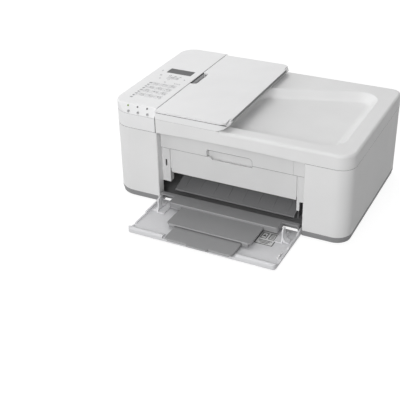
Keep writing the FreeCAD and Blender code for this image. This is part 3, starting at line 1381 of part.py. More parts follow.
# Every piece is moved back so that the whole stands centred on its bounding box
for name, shape in nodes.items():
    moved = shape.copy()
    moved.translate(V(0, SHIFT_Y, 0))
    moved.exportStep("parts/" + name + ".step")
    solids = moved.Solids
    print(name, len(solids), moved.isValid(), round(moved.Volume), [round(v, 1) for v in (
        moved.BoundBox.XMin, moved.BoundBox.XMax, moved.BoundBox.YMin, moved.BoundBox.YMax,
        moved.BoundBox.ZMin, moved.BoundBox.ZMax)])
print(len(nodes), "pieces, shift", SHIFT_Y)
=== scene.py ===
"""Looks of an inkjet printer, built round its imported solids.

Lengths are in metres. Drawings on a plane of the printer are in millimetres.
"""
import math
import bmesh
import bpy
from mathutils import Euler, Matrix, Vector


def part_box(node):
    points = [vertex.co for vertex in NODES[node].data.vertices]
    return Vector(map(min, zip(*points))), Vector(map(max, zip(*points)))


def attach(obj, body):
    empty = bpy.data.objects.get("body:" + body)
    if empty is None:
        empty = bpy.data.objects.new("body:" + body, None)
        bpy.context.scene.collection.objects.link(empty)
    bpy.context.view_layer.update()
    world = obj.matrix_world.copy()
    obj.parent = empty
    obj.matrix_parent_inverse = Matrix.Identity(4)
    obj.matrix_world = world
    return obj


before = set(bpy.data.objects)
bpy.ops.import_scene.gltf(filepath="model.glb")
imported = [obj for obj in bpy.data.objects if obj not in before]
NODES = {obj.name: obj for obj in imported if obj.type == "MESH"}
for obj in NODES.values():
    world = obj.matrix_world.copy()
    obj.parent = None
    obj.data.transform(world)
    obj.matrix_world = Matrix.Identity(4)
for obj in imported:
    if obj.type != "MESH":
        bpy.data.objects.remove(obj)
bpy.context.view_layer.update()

MM = 0.001
BODY = "printer_body"


# Camera: solved from the photograph
CAMERA_AT = Vector((0.532583, -1.202334, 0.768128))
CAMERA_TURN = (59.4198, 1.1804, 26.7206)
CAMERA_LENS = 74.91
CAMERA_SENSOR = 36.0
CAMERA_NEAR = 0.01


def make_camera():
    data = bpy.data.cameras.new("camera")
    data.lens = CAMERA_LENS
    data.sensor_width = CAMERA_SENSOR
    data.clip_start = CAMERA_NEAR
    camera = bpy.data.objects.new("camera", data)
    camera.location = CAMERA_AT
    camera.rotation_euler = Euler([math.radians(angle) for angle in CAMERA_TURN])
    bpy.context.scene.collection.objects.link(camera)
    bpy.context.scene.camera = camera


# Studio: white floor and world, and large soft lamps as (direction, distance, size, watts)
AMBIENT = 0.25
BACKDROP = 1.0
LAMPS = {
    "lamp_left": ((-1.0, 0.15, 0.45), 2.2, 1.6, 6.0),
    "lamp_front_left": ((-1.0, -0.5, 0.4), 2.3, 1.2, 10.5),
    "lamp_front": ((0.15, -1.0, 0.45), 2.4, 1.5, 29.8),
    "lamp_front_right": ((0.9, -1.0, 0.45), 2.4, 1.2, 1.6),
    "lamp_overhead": ((-0.25, 0.45, 1.0), 2.3, 1.8, 18.0),
    "lamp_back_left": ((-0.8, 0.7, 0.7), 2.3, 1.2, 2.5),
}
FLOOR_HALF = 4.0
FLOOR_GLOW = 0.88
FLOOR_COLOUR = 0.24
FLOOR_BOUNCE = 0.32


def light_path_white(tree):
    """One where the camera, a reflection or glass looks, and nought for light that falls on the object."""
    path = tree.nodes.new("ShaderNodeLightPath")
    total = path.outputs["Is Camera Ray"]
    for name in ("Is Glossy Ray", "Is Transmission Ray"):
        most = tree.nodes.new("ShaderNodeMath")
        most.operation = "MAXIMUM"
        tree.links.new(total, most.inputs[0])
        tree.links.new(path.outputs[name], most.inputs[1])
        total = most.outputs[0]
    return total


def mix_by_path(tree, lighting, seen, out):
    """Sends one shader to light that falls on the object and another to what is seen."""
    mix = tree.nodes.new("ShaderNodeMixShader")
    tree.links.new(light_path_white(tree), mix.inputs[0])
    tree.links.new(lighting.outputs[0], mix.inputs[1])
    tree.links.new(seen.outputs[0], mix.inputs[2])
    tree.links.new(mix.outputs[0], out.inputs["Surface"])


def white_sky(tree, strength):
    sky = tree.nodes.new("ShaderNodeBackground")
    sky.inputs["Color"].default_value = (1.0, 1.0, 1.0, 1.0)
    sky.inputs["Strength"].default_value = strength
    return sky


def make_world():
    world = bpy.data.worlds.new("studio")
    bpy.context.scene.world = world
    world.use_nodes = True
    tree = world.node_tree
    tree.nodes.clear()
    out = tree.nodes.new("ShaderNodeOutputWorld")
    mix_by_path(tree, white_sky(tree, AMBIENT), white_sky(tree, BACKDROP), out)


def make_lamp(name, direction, far, size, power):
    data = bpy.data.lights.new(name, "AREA")
    data.shape = "DISK"
    data.size = size
    data.energy = power
    lamp = bpy.data.objects.new(name, data)
    direction = Vector(direction)
    lamp.location = direction.normalized() * far
    lamp.rotation_euler = direction.to_track_quat("Z", "Y").to_euler()
    bpy.context.scene.collection.objects.link(lamp)


def matt_grey(tree, grey):
    shader = tree.nodes.new("ShaderNodeBsdfDiffuse")
    shader.inputs["Color"].default_value = (grey, grey, grey, 1.0)
    return shader


def make_floor():
    """Floor that glows nearly white where it is seen, and still shows the printer's shadow."""
    mesh = bpy.data.meshes.new("floor")
    corners = [(-1, -1), (1, -1), (1, 1), (-1, 1)]
    mesh.from_pydata([(x * FLOOR_HALF, y * FLOOR_HALF, 0.0) for x, y in corners], [], [(0, 1, 2, 3)])
    floor = bpy.data.objects.new("floor", mesh)
    bpy.context.scene.collection.objects.link(floor)
    material = bpy.data.materials.new("floor")
    material.use_nodes = True
    tree = material.node_tree
    tree.nodes.clear()
    out = tree.nodes.new("ShaderNodeOutputMaterial")
    glow = tree.nodes.new("ShaderNodeEmission")
    glow.inputs["Strength"].default_value = FLOOR_GLOW
    seen = tree.nodes.new("ShaderNodeAddShader")
    tree.links.new(matt_grey(tree, FLOOR_COLOUR).outputs[0], seen.inputs[0])
    tree.links.new(glow.outputs[0], seen.inputs[1])
    mix_by_path(tree, matt_grey(tree, FLOOR_BOUNCE), seen, out)
    mesh.materials.append(material)


# Materials: scales of noise are in grains per metre, and depths of bump in metres
NOISE_RANGE = (0.3, 0.7)
TINT_RANGE = (0.35, 0.65)
MOULDED_DRIFT = 14.0
MOULDED_GLOSS = 60.0
MOULDED_UNEVEN = 0.04
MOULDED_SPECULAR = 0.27
BRUSHING = (30.0, 1400.0, 1400.0)
BRUSHED_DARK = 0.93
BRUSHED_UNEVEN = 0.08
BRUSHED_BUMP = (0.1, 0.00003)
GLASS_DRIFT = 20.0
GLASS_DARK = 0.97
GLASS_GLOSS = 90.0
GLASS_UNEVEN = 0.04
GLASS_RIPPLE = 8.0
GLASS_BUMP = (0.05, 0.0005)
LENS_DRIFT = 900.0
LENS_DARK = 0.8
LENS_ROUGH = 0.25


def new_material(name):
    material = bpy.data.materials.new(name)
    material.use_nodes = True
    tree = material.node_tree
    return material, tree, tree.nodes["Principled BSDF"]


def noise(tree, scale, detail=2.0):
    """Noise in the object's own coordinates."""
    where = tree.nodes.new("ShaderNodeTexCoord")
    texture = tree.nodes.new("ShaderNodeTexNoise")
    texture.inputs["Scale"].default_value = scale
    texture.inputs["Detail"].default_value = detail
    tree.links.new(where.outputs["Object"], texture.inputs["Vector"])
    return texture.outputs["Fac"]


def spread(tree, value, low, high):
    """Maps noise around one half to a range of numbers."""
    ramp = tree.nodes.new("ShaderNodeMapRange")
    ramp.inputs["From Min"].default_value = NOISE_RANGE[0]
    ramp.inputs["From Max"].default_value = NOISE_RANGE[1]
    ramp.inputs["To Min"].default_value = low
    ramp.inputs["To Max"].default_value = high
    tree.links.new(value, ramp.inputs["Value"])
    return ramp.outputs["Result"]


def tinted(tree, value, dark, light):
    """Colour that drifts between two close tones."""
    ramp = tree.nodes.new("ShaderNodeValToRGB")
    for element, position, colour in zip(ramp.color_ramp.elements, TINT_RANGE, (dark, light)):
        element.position = position
        element.color = (*colour, 1.0)
    tree.links.new(value, ramp.inputs["Fac"])
    return ramp.outputs["Color"]


def bump(tree, shader, height, strength, distance):
    node = tree.nodes.new("ShaderNodeBump")
    node.inputs["Strength"].default_value = strength
    node.inputs["Distance"].default_value = distance
    tree.links.new(height, node.inputs["Height"])
    tree.links.new(node.outputs["Normal"], shader.inputs["Normal"])


def moulded(name, colour, rough, drift=0.015, grain=1800.0, depth=0.00004, strength=0.25):
    """Moulded plastic: a fine spark texture, slow drift of tone and uneven gloss."""
    material, tree, shader = new_material(name)
    dark = [max(0.0, c * (1.0 - drift)) for c in colour]
    light = [min(1.0, c * (1.0 + drift)) for c in colour]
    tone = tinted(tree, noise(tree, MOULDED_DRIFT), dark, light)
    gloss = spread(tree, noise(tree, MOULDED_GLOSS), rough - MOULDED_UNEVEN, rough + MOULDED_UNEVEN)
    tree.links.new(tone, shader.inputs["Base Color"])
    tree.links.new(gloss, shader.inputs["Roughness"])
    bump(tree, shader, noise(tree, grain, 3.0), strength, depth)
    shader.inputs["Specular IOR Level"].default_value = MOULDED_SPECULAR
    return material


def metal(name, colour, rough):
    """Plated sheet: fine brushing along X."""
    material, tree, shader = new_material(name)
    where = tree.nodes.new("ShaderNodeTexCoord")
    stretch = tree.nodes.new("ShaderNodeMapping")
    stretch.inputs["Scale"].default_value = BRUSHING
    tree.links.new(where.outputs["Object"], stretch.inputs["Vector"])
    texture = tree.nodes.new("ShaderNodeTexNoise")
    texture.inputs["Scale"].default_value = 1.0
    tree.links.new(stretch.outputs["Vector"], texture.inputs["Vector"])
    brushed = texture.outputs["Fac"]
    tone = tinted(tree, brushed, [c * BRUSHED_DARK for c in colour], colour)
    gloss = spread(tree, brushed, rough - BRUSHED_UNEVEN, rough + BRUSHED_UNEVEN)
    tree.links.new(tone, shader.inputs["Base Color"])
    tree.links.new(gloss, shader.inputs["Roughness"])
    shader.inputs["Metallic"].default_value = 1.0
    bump(tree, shader, brushed, *BRUSHED_BUMP)
    return material


def glazing(name, colour, rough, see_through):
    """Clear or smoked glass with a faint ripple."""
    material, tree, shader = new_material(name)
    tone = tinted(tree, noise(tree, GLASS_DRIFT), [c * GLASS_DARK for c in colour], colour)
    gloss = spread(tree, noise(tree, GLASS_GLOSS), rough, rough + GLASS_UNEVEN)
    tree.links.new(tone, shader.inputs["Base Color"])
    tree.links.new(gloss, shader.inputs["Roughness"])
    shader.inputs["Transmission Weight"].default_value = see_through
    bump(tree, shader, noise(tree, GLASS_RIPPLE), *GLASS_BUMP)
    return material


def lamp_lens(name, colour, glow):
    """Lens of a small lamp; a glow of nought is a lamp that is off."""
    material, tree, shader = new_material(name)
    tone = tinted(tree, noise(tree, LENS_DRIFT), [c * LENS_DARK for c in colour], colour)
    tree.links.new(tone, shader.inputs["Base Color"])
    shader.inputs["Roughness"].default_value = LENS_ROUGH
    shader.inputs["Emission Color"].default_value = (*colour, 1.0)
    shader.inputs["Emission Strength"].default_value = glow
    return material


WHITE = moulded("white_shell", (0.80, 0.80, 0.80), 0.42)
PANEL = moulded("panel_white", (0.85, 0.85, 0.855), 0.40)
# Greyer white of the fascia, output cover and fillers: partly their own tone, partly painted shade of the
# recess
FASCIA_SHADED = moulded("fascia_white_shaded", (0.70, 0.70, 0.70), 0.45)
TRAY_WHITE = moulded("tray_white", (0.72, 0.72, 0.735), 0.45)
BASE_GREY = moulded("base_grey", (0.29, 0.29, 0.295), 0.5)
TRAY_GREY = moulded("tray_grey", (0.29, 0.29, 0.295), 0.42)
BLACK = moulded("black_inner", (0.018, 0.018, 0.022), 0.5)
CARTRIDGE = moulded("cartridge_black", (0.03, 0.03, 0.034), 0.35)
RUBBER = moulded("rubber", (0.035, 0.035, 0.035), 0.8, drift=0.1, grain=2600.0, strength=0.5)
CHUTE = moulded("chute_grey", (0.22, 0.22, 0.225), 0.45)
ROLLER = moulded("roller_rubber", (0.06, 0.06, 0.065), 0.7, drift=0.1, grain=2600.0, strength=0.4)
NYLON = moulded("nylon", (0.72, 0.71, 0.66), 0.5)
STEEL = metal("steel", (0.62, 0.62, 0.63), 0.35)
BOARD = moulded("board_green", (0.03, 0.16, 0.06), 0.35, drift=0.15, grain=700.0)
FOAM = moulded("foam_white", (0.84, 0.84, 0.83), 0.75, grain=900.0, strength=0.4)
KEY = moulded("key_grey", (0.70, 0.70, 0.705), 0.45)
FILM = glazing("encoder_film", (0.55, 0.56, 0.58), 0.15, 0.5)
GLASS = glazing("glass", (0.90, 0.95, 0.94), 0.02, 0.9)
DISPLAY = glazing("display", (0.022, 0.023, 0.025), 0.3, 0.0)
LAMP_OFF = lamp_lens("lamp_off", (0.17, 0.17, 0.175), 0.0)
LAMP_GREEN = lamp_lens("lamp_green", (0.20, 0.30, 0.08), 0.2)
INK = moulded("ink_grey", (0.10, 0.10, 0.11), 0.55)
PALE_INK = moulded("ink_pale", (0.36, 0.36, 0.38), 0.55)
LINER = moulded("liner_grey", (0.36, 0.36, 0.365), 0.5)
# Painted shade: dark grey of the strips that stand in for shade in the gaps, seams and the panel's slope
# edge
SEAM_SHADE = moulded("painted_seam_shade", (0.14, 0.14, 0.145), 0.6)
# Painted shade: mid grey of the lines along the panel's crease and edges and along the feeder's joint,
# side, ledge and hinge
LINE_SHADE = moulded("painted_line_shade", (0.42, 0.42, 0.425), 0.55)
# Painted highlight: pale grey of the strips on the front edges of the grey plates
EDGE_HIGHLIGHT = moulded("painted_edge_highlight", (0.58, 0.58, 0.585), 0.45)
BUTTON = moulded("button_grey", (0.52, 0.52, 0.525), 0.4)
LABEL = moulded("label_film", (0.78, 0.78, 0.78), 0.35)
BRASS = metal("contact_gilt", (0.72, 0.55, 0.25), 0.3)
CHIP = moulded("chip_black", (0.022, 0.022, 0.024), 0.45)
LIGHT_BAR = glazing("light_bar", (0.80, 0.86, 0.78), 0.2, 0.35)
CYAN = moulded("label_cyan", (0.03, 0.36, 0.62), 0.35)
MAGENTA = moulded("label_magenta", (0.62, 0.04, 0.26), 0.35)
YELLOW = moulded("label_yellow", (0.80, 0.62, 0.03), 0.35)

# Finish of each solid; the keys are not listed and take the key grey
FINISH = {
    "main_case": WHITE, "document_cover": WHITE, "feeder_housing": PANEL, "document_tray": PANEL,
    "control_panel": PANEL, "paper_output_cover": FASCIA_SHADED, "front_fascia": FASCIA_SHADED,
    "front_tray": TRAY_WHITE, "paper_guide_right": TRAY_WHITE, "paper_guide_left": TRAY_WHITE,
    "base_tray": BASE_GREY, "scanner_frame": BASE_GREY, "service_station": BASE_GREY,
    "output_tray": TRAY_GREY, "output_extension": TRAY_GREY,
    "output_chute": CHUTE, "print_platen": BLACK, "carriage": BLACK, "power_inlet": BLACK,
    "signal_sockets": BLACK, "power_supply": BLACK, "scan_head": BLACK,
    "black_cartridge": CARTRIDGE, "colour_cartridge": CARTRIDGE,
    "rubber_feet": RUBBER, "carriage_belt": RUBBER, "pickup_roller": RUBBER, "feeder_roller": RUBBER,
    "feed_roller": ROLLER, "eject_roller": ROLLER, "idler_gear": NYLON, "motor_pinion": NYLON,
    "chassis_plates": STEEL, "carriage_rail": STEEL, "scan_rod": STEEL, "feed_motor": STEEL,
    "carriage_motor": STEEL, "encoder_strip": FILM, "platen_glass": GLASS, "lcd_window": DISPLAY,
    "status_lamps": LAMP_OFF, "main_board": BOARD, "lid_pad": FOAM,
    "button_power": BUTTON, "button_stop": BUTTON, "button_start": BUTTON,
}


def dress_nodes():
    for name, node in NODES.items():
        node.data.materials.clear()
        node.data.materials.append(FINISH.get(name, KEY))


# Flat drawings on a plane, in millimetres
INK_T = 0.06
FILM_T = 0.1
STRIP_T = 0.1
PROUD = STRIP_T / 2
# Thickness of the strips of painted shade in the gaps
SHADE_T = 0.12
LIFT = 0.01
LETTER_STEPS = 3


def plane(origin, right, up):
    """Matrix from millimetres along right, up and outwards to the printer's frame."""
    right, up = Vector(right), Vector(up)
    turn = Matrix((right, up, right.cross(up))).transposed().to_4x4()
    return Matrix.Translation(origin) @ turn @ Matrix.Scale(MM, 4)


def bar(left, right, low, high):
    """Rectangle given by its four limits."""
    return [(left, low), (right, low), (right, high), (left, high)]


def rect(x, y, wide, tall):
    """Rectangle given by its middle and size."""
    return bar(x - wide / 2, x + wide / 2, y - tall / 2, y + tall / 2)


def arc(x, y, radius, start, stop, steps):
    angles = [math.radians(start + (stop - start) * i / steps) for i in range(steps + 1)]
    return [(x + radius * math.cos(angle), y + radius * math.sin(angle)) for angle in angles]


def disc(x, y, radius, steps=24):
    return arc(x, y, radius, 0, 360, steps)[:-1]


def rounded(x, y, wide, tall, radius, steps=5):
    """Rectangle with round corners."""
    points = []
    for i, (sx, sy) in enumerate(((1, 1), (-1, 1), (-1, -1), (1, -1))):
        centre = (x + sx * (wide / 2 - radius), y + sy * (tall / 2 - radius))
        points += arc(*centre, radius, 90 * i, 90 * i + 90, steps)
    return points


def band(x, y, radius, thick, start, stop, steps=24):
    """Part of a ring."""
    return arc(x, y, radius, start, stop, steps) + arc(x, y, radius - thick, stop, start, steps)


def border(x, y, wide, tall, thick):
    """Four bars with mitred corners round a rectangle."""
    outer, inner = rect(x, y, wide, tall), rect(x, y, wide - 2 * thick, tall - 2 * thick)
    return [[outer[i], outer[(i + 1) % 4], inner[(i + 1) % 4], inner[i]] for i in range(4)]


def arrow(x, y, size, angle):
    """Triangle that points along an angle."""
    return arc(x, y, size, angle, angle + 360, 3)[:-1]


def rise(work, outline, low, high):
    """Pushes an outline from low to high, and returns its corners."""
    lower = [work.verts.new((x, y, low)) for x, y in outline]
    upper = [work.verts.new((x, y, high)) for x, y in outline]
    work.faces.new(lower[::-1])
    work.faces.new(upper)
    for i in range(len(outline)):
        j = (i + 1) % len(outline)
        work.faces.new((lower[i], lower[j], upper[j], upper[i]))
    return lower + upper


def turned(work, x, y, profile, steps=24):
    """Turns a profile of (radius, height) round an upright axis; it starts and ends on the axis."""
    rings = []
    for radius, height in profile:
        if radius == 0:
            rings.append([work.verts.new((x, y, height))])
        else:
            rings.append([work.verts.new((px, py, height)) for px, py in disc(x, y, radius, steps)])
    for low, high in zip(rings, rings[1:]):
        for i in range(steps):
            j = (i + 1) % steps
            corners = [low[i % len(low)], low[j % len(low)], high[j % len(high)], high[i % len(high)]]
            work.faces.new(list(dict.fromkeys(corners)))


def add(name, work, body, material):
    """Makes a piece of a finished mesh and puts it on its body."""
    mesh = bpy.data.meshes.new(name)
    work.to_mesh(mesh)
    work.free()
    mesh.materials.append(material)
    piece = bpy.data.objects.new(name, mesh)
    bpy.context.scene.collection.objects.link(piece)
    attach(piece, body)


def drawn(name, where, body, slot, material, flats=(), low=0.0, high=INK_T, rounds=()):
    """One piece made of flat outlines and turned profiles on a plane."""
    work = bmesh.new()
    for outline in flats:
        rise(work, outline, low, high)
    for x, y, profile in rounds:
        turned(work, x, y, profile)
    work.transform(where)
    bmesh.ops.recalc_face_normals(work, faces=work.faces)
    add(name, work, body, material)


def lettering(name, words, where, body, material):
    """Words as (text, x, y, size), raised a little, in one piece."""
    work = bmesh.new()
    for text, x, y, size in words:
        curve = bpy.data.curves.new(name, "FONT")
        curve.body = text
        curve.size = size
        curve.align_x = "CENTER"
        curve.align_y = "CENTER"
        curve.extrude = INK_T / 2
        curve.resolution_u = LETTER_STEPS
        source = bpy.data.objects.new(name + "_text", curve)
        mesh = bpy.data.meshes.new_from_object(source)
        mesh.transform(Matrix.Translation((x, y, INK_T / 2)))
        work.from_mesh(mesh)
        bpy.data.objects.remove(source)
        bpy.data.meshes.remove(mesh)
    work.transform(where)
    add(name, work, body, material)


# Places that the frame gives; the sheet lies on the panel's top, with its origin over the front left corner
panel_low, panel_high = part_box("control_panel")
case_low, case_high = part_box("main_case")
feeder_low, feeder_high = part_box("feeder_housing")
LEFT, FRONT, TOP = panel_low.x, panel_low.y, panel_high.z
SHEET = plane((LEFT, FRONT, TOP), (1, 0, 0), (0, 1, 0))
PANEL_W = (panel_high.x - LEFT) / MM
CASE_W = (case_high.x - LEFT) / MM
CASE_D = (case_high.y - FRONT) / MM
GROOVE = (case_high.z - TOP) / MM
CASE_FOOT = (case_low.z - TOP) / MM
FEEDER_L = (feeder_low.x - LEFT) / MM
FEEDER_R = (feeder_high.x - LEFT) / MM
FEEDER_FOOT = (feeder_low.z - TOP) / MM


def middle(node):
    low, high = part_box(node)
    return (low + high) / 2


def on_panel(node):
    """Where the middle of a node stands on the sheet."""
    spot = middle(node)
    return (spot.x - LEFT) / MM, (spot.y - FRONT) / MM


def on_top(node):
    """Plane on the top of a node, with its origin in the middle."""
    spot = middle(node)
    return plane((spot.x, spot.y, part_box(node)[1].z), (1, 0, 0), (0, 1, 0))


# Key legends: a digit on each key, a thin outline round it and the usual letters above it
LETTERS = {"2": "ABC", "3": "DEF", "4": "GHI", "5": "JKL", "6": "MNO", "7": "PQRS", "8": "TUV", "9": "WXYZ"}
KEY_SIGNS = {"star": "*", "hash": "#", "ok": "OK"}
DIGIT = 5.2
LETTER = 2.6
LETTER_UP = 6.4
RING = 2.0
RING_LINE = 0.4


def key_legends():
    groups, rings = [], []
    for node in NODES:
        if not node.startswith("key_"):
            continue
        name = node.removeprefix("key_")
        x, y = on_panel(node)
        low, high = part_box(node)
        wide, deep = (high.x - low.x) / MM, (high.y - low.y) / MM
        rings += border(x, y, wide + RING, deep + RING, RING_LINE)
        cap = SHEET @ Matrix.Translation((x, y, (high.z - TOP) / MM))
        lettering("legend_" + name, [(KEY_SIGNS.get(name, name), 0, 0, DIGIT)], cap, node, INK)
        if name in LETTERS:
            groups.append((LETTERS[name], x, y + LETTER_UP, LETTER))
    lettering("keypad_letters", groups, SHEET, BODY, PALE_INK)
    drawn("key_outlines", SHEET, BODY, "key_grey", PALE_INK, rings)


# Small printed signs on the sheet
ARROWS = ((29.8, 131.2, 180), (76.1, 140.0, 0))
ARROW_SIZE = 2.0
PAGES = ((24.4, 144.8), (42.2, 149.3))
PAGE_SIZE = (3.4, 4.2)
PAGE_LINE = 0.45
WORDS = ((53.0, 149.7), (63.7, 149.2), (47.4, 118.6))
WORD_LONG = 4.4
WORD_SHORT = 3.0
WORD_LINE = 0.7
WORD_STEP = 1.5
FRAME_AT = (72.6, 117.8)
FRAME_SIZE = (11.1, 3.4)
FRAME_LINE = 0.4
STROKE_AT = (17.0, 165.9)
STROKE_SIZE = (1.0, 5.0)
TURN_AT = (48.2, 130.4)
TURN_R = 2.0
TURN_LINE = 0.5
TURN_ANGLES = (30, 330)
COLUMN_X = 24.8
COLUMN_FRONT = 36.0
COLUMN_PITCH = 8.7
COLUMN_COUNT = 9
COLUMN_FRAME = 4.6
COLUMN_LINE = 0.5
COLUMN_DOT = 2.0


def panel_signs():
    flats = [arrow(x, y, ARROW_SIZE, angle) for x, y, angle in ARROWS]
    for x, y in PAGES:
        flats += border(x, y, *PAGE_SIZE, PAGE_LINE)
    for x, y in WORDS:
        flats.append(rect(x, y, WORD_LONG, WORD_LINE))
        flats.append(rect(x, y - WORD_STEP, WORD_SHORT, WORD_LINE))
    flats += border(*FRAME_AT, *FRAME_SIZE, FRAME_LINE)
    flats.append(rect(*STROKE_AT, *STROKE_SIZE))
    flats.append(band(*TURN_AT, TURN_R, TURN_LINE, *TURN_ANGLES))
    for i in range(COLUMN_COUNT):
        y = COLUMN_FRONT + COLUMN_PITCH * i
        flats += border(COLUMN_X, y, COLUMN_FRAME, COLUMN_FRAME, COLUMN_LINE)
        flats.append(rect(COLUMN_X, y, COLUMN_DOT, COLUMN_DOT))
    drawn("panel_signs", SHEET, BODY, "key_grey", INK, flats)


# Lamps and buttons on the sloping front of the panel
SLOPE_RUN = 10.0
SLOPE_RISE = 15.0
BUTTON_AT = 0.24
LAMP_AT = 0.78
BUTTON_PROUD = 0.6
LAMP_PROUD = 0.2
LAMP_LEAD = 3.0
LENS = [(0, -0.2), (1.75, -0.2), (1.75, 0.06), (1.45, 0.3), (0.8, 0.5), (0, 0.55)]
SIGN_R = 1.3
POWER_LINE = 0.32
POWER_ANGLES = (125, 415)
POWER_STROKE = 0.9
START_BAR_X = -1.15
START_BAR = (0.3, 1.6)


def on_slope(x, share, proud):
    """Plane that lies on the sloping front, a share of the way up, with x in metres."""
    origin = Vector((x, FRONT + SLOPE_RUN * share * MM, TOP - SLOPE_RISE * (1 - share) * MM))
    up = Vector((0, SLOPE_RUN, SLOPE_RISE)).normalized()
    out = Vector((1, 0, 0)).cross(up)
    return plane(origin + out * proud * MM, (1, 0, 0), up)


def slope_details():
    signs = {
        "button_power": [
            band(0, 0, SIGN_R, POWER_LINE, *POWER_ANGLES),
            rect(0, POWER_STROKE, POWER_LINE, SIGN_R),
        ],
        "button_stop": [arrow(0, 0, SIGN_R, 90)],
        "button_start": [arrow(0, 0, SIGN_R, 0), rect(START_BAR_X, 0, *START_BAR)],
    }
    for node, flats in signs.items():
        x = middle(node).x
        drawn(node + "_sign", on_slope(x, BUTTON_AT, BUTTON_PROUD), node, "key_grey", INK, flats)
        lens = on_slope(x - LAMP_LEAD * MM, LAMP_AT, LAMP_PROUD)
        glow = LAMP_GREEN if node == "button_power" else LAMP_OFF
        drawn(node + "_lens", lens, BODY, "lamp", glow, rounds=[(0, 0, LENS)])


# Outline of the case in plan
CORNER_L = 40.0
CORNER_R = 27.0
REAR_L = 30.0
REAR_R = 20.0
PILLAR = 364.5
CASE_RUNS = (
    "front_left", "corner_left", "left", "rear_left", "front_right", "corner_right", "right", "rear_right",
)


def round_case(gap, thick, names):
    """Bars along the outline of the case, a gap in from its face, for the named runs."""
    far = gap + thick
    runs = {
        "front_left": bar(CORNER_L, PANEL_W, gap, far),
        "front_right": bar(PILLAR, CASE_W - CORNER_R, gap, far),
        "left": bar(gap, far, CORNER_L, CASE_D - REAR_L),
        "right": bar(CASE_W - far, CASE_W - gap, CORNER_R, CASE_D - REAR_R),
        "back": bar(REAR_L, CASE_W - REAR_R, CASE_D - far, CASE_D - gap),
        "corner_left": band(CORNER_L, CORNER_L, CORNER_L - gap, thick, 180, 270),
        "corner_right": band(CASE_W - CORNER_R, CORNER_R, CORNER_R - gap, thick, 270, 360),
        "rear_left": band(REAR_L, CASE_D - REAR_L, REAR_L - gap, thick, 90, 180),
        "rear_right": band(CASE_W - REAR_R, CASE_D - REAR_R, REAR_R - gap, thick, 0, 90),
    }
    return [runs[name] for name in names]


# Painted shade: dark linings in the gaps round the panel and lid, and thin grey lines along the panel's
# crease and edges where shade falls
CREASE = -SLOPE_RISE
CREASE_H = 0.5
GROOVE_GAP = 0.1
GROOVE_W = 1.1
WALL_FOOT = GROOVE + 0.8
WALL_BACK = CASE_D - 9.0
WALL_IN = 0.1
WALL_W = 2.8
WALL_DEEP = 3.1
WALL_BEND = (1.6, 1.0)
EDGE_W = 0.7
EDGE_START = SLOPE_RUN + 2.0
SLOPE_LONG = 17.4


def seam_shades():
    wall = plane((LEFT + PANEL_W * MM, FRONT, TOP), (0, 1, 0), (0, 0, 1))
    outer = [(WALL_IN, WALL_FOOT), (WALL_IN, CREASE), (SLOPE_RUN, -WALL_IN), (WALL_BACK, -WALL_IN)]
    bend = [(SLOPE_RUN + WALL_BEND[0], -WALL_DEEP), (WALL_W, CREASE - WALL_BEND[1])]
    gap_shade = outer + [(WALL_BACK, -WALL_DEEP)] + bend + [(WALL_W, WALL_FOOT)]
    drawn("panel_gap_shade", wall, BODY, "tray_grey", SEAM_SHADE, [gap_shade], 0.0, SHADE_T)
    groove = round_case(GROOVE_GAP, GROOVE_W, CASE_RUNS)
    floor = GROOVE + 2 * LIFT
    drawn("case_groove_shade", SHEET, BODY, "tray_grey", SEAM_SHADE, groove, floor, floor + SHADE_T)


# Painted shade: grey lines on the crease and the right edges of the panel, and a dark one on its slope edge
def panel_edge_shades():
    crease = round_case(-PROUD, STRIP_T, ("front_left", "corner_left"))
    drawn("panel_crease_shade", SHEET, BODY, "tray_grey", LINE_SHADE, crease, CREASE - CREASE_H, CREASE)
    top = [bar(PANEL_W - EDGE_W, PANEL_W, EDGE_START, WALL_BACK)]
    drawn("panel_top_edge_shade", SHEET, BODY, "tray_grey", LINE_SHADE, top)
    front = [bar(PANEL_W - EDGE_W, PANEL_W, -PROUD, PROUD)]
    drawn("panel_front_edge_shade", SHEET, BODY, "tray_grey", LINE_SHADE, front, WALL_FOOT, CREASE)
    slope = on_slope(LEFT + (PANEL_W - EDGE_W / 2) * MM, 0.5, 0.0)
    drawn("panel_slope_edge_shade", slope, BODY, "tray_grey", SEAM_SHADE, [rect(0, 0, EDGE_W, SLOPE_LONG)])


# Painted shade: grey and dark lines at the foot and lip of the feeder where shade falls in the joints, and
# painted shade on its side and ledge under the hinge of the flap and on the hinge
FEEDER_LEDGE = -4.0
FEEDER_BEND = 24.0
JOINT_H = 0.35
LIP_ENDS = 2.0
LIP_Y = (0.3, 3.1)
SIDE_Y = (16.0, 271.0)
SIDE_DROP = (1.65, 0.05)
HINGE_Y = (24.3, 262.7)
HINGE_R = 1.5
HINGE_IN = 1.0
HINGE_OUT = 0.08
HINGE_SKIN = 0.07
HINGE_ANGLES = (-70, 40)
HINGE_STEPS = 12
LEDGE_W = 4.0


def feeder_shade_lines():
    joint = [bar(FEEDER_L, FEEDER_R - FEEDER_BEND, -PROUD, PROUD)]
    drawn("feeder_joint_shade", SHEET, "lid", "tray_grey", LINE_SHADE, joint, FEEDER_FOOT, FEEDER_FOOT + JOINT_H)
    lip = [bar(FEEDER_L + LIP_ENDS, FEEDER_R - LIP_ENDS, *LIP_Y)]
    low, high = FEEDER_LEDGE + LIFT, FEEDER_LEDGE + SHADE_T
    drawn("feeder_lip_shade", SHEET, "lid", "tray_grey", SEAM_SHADE, lip, low, high)


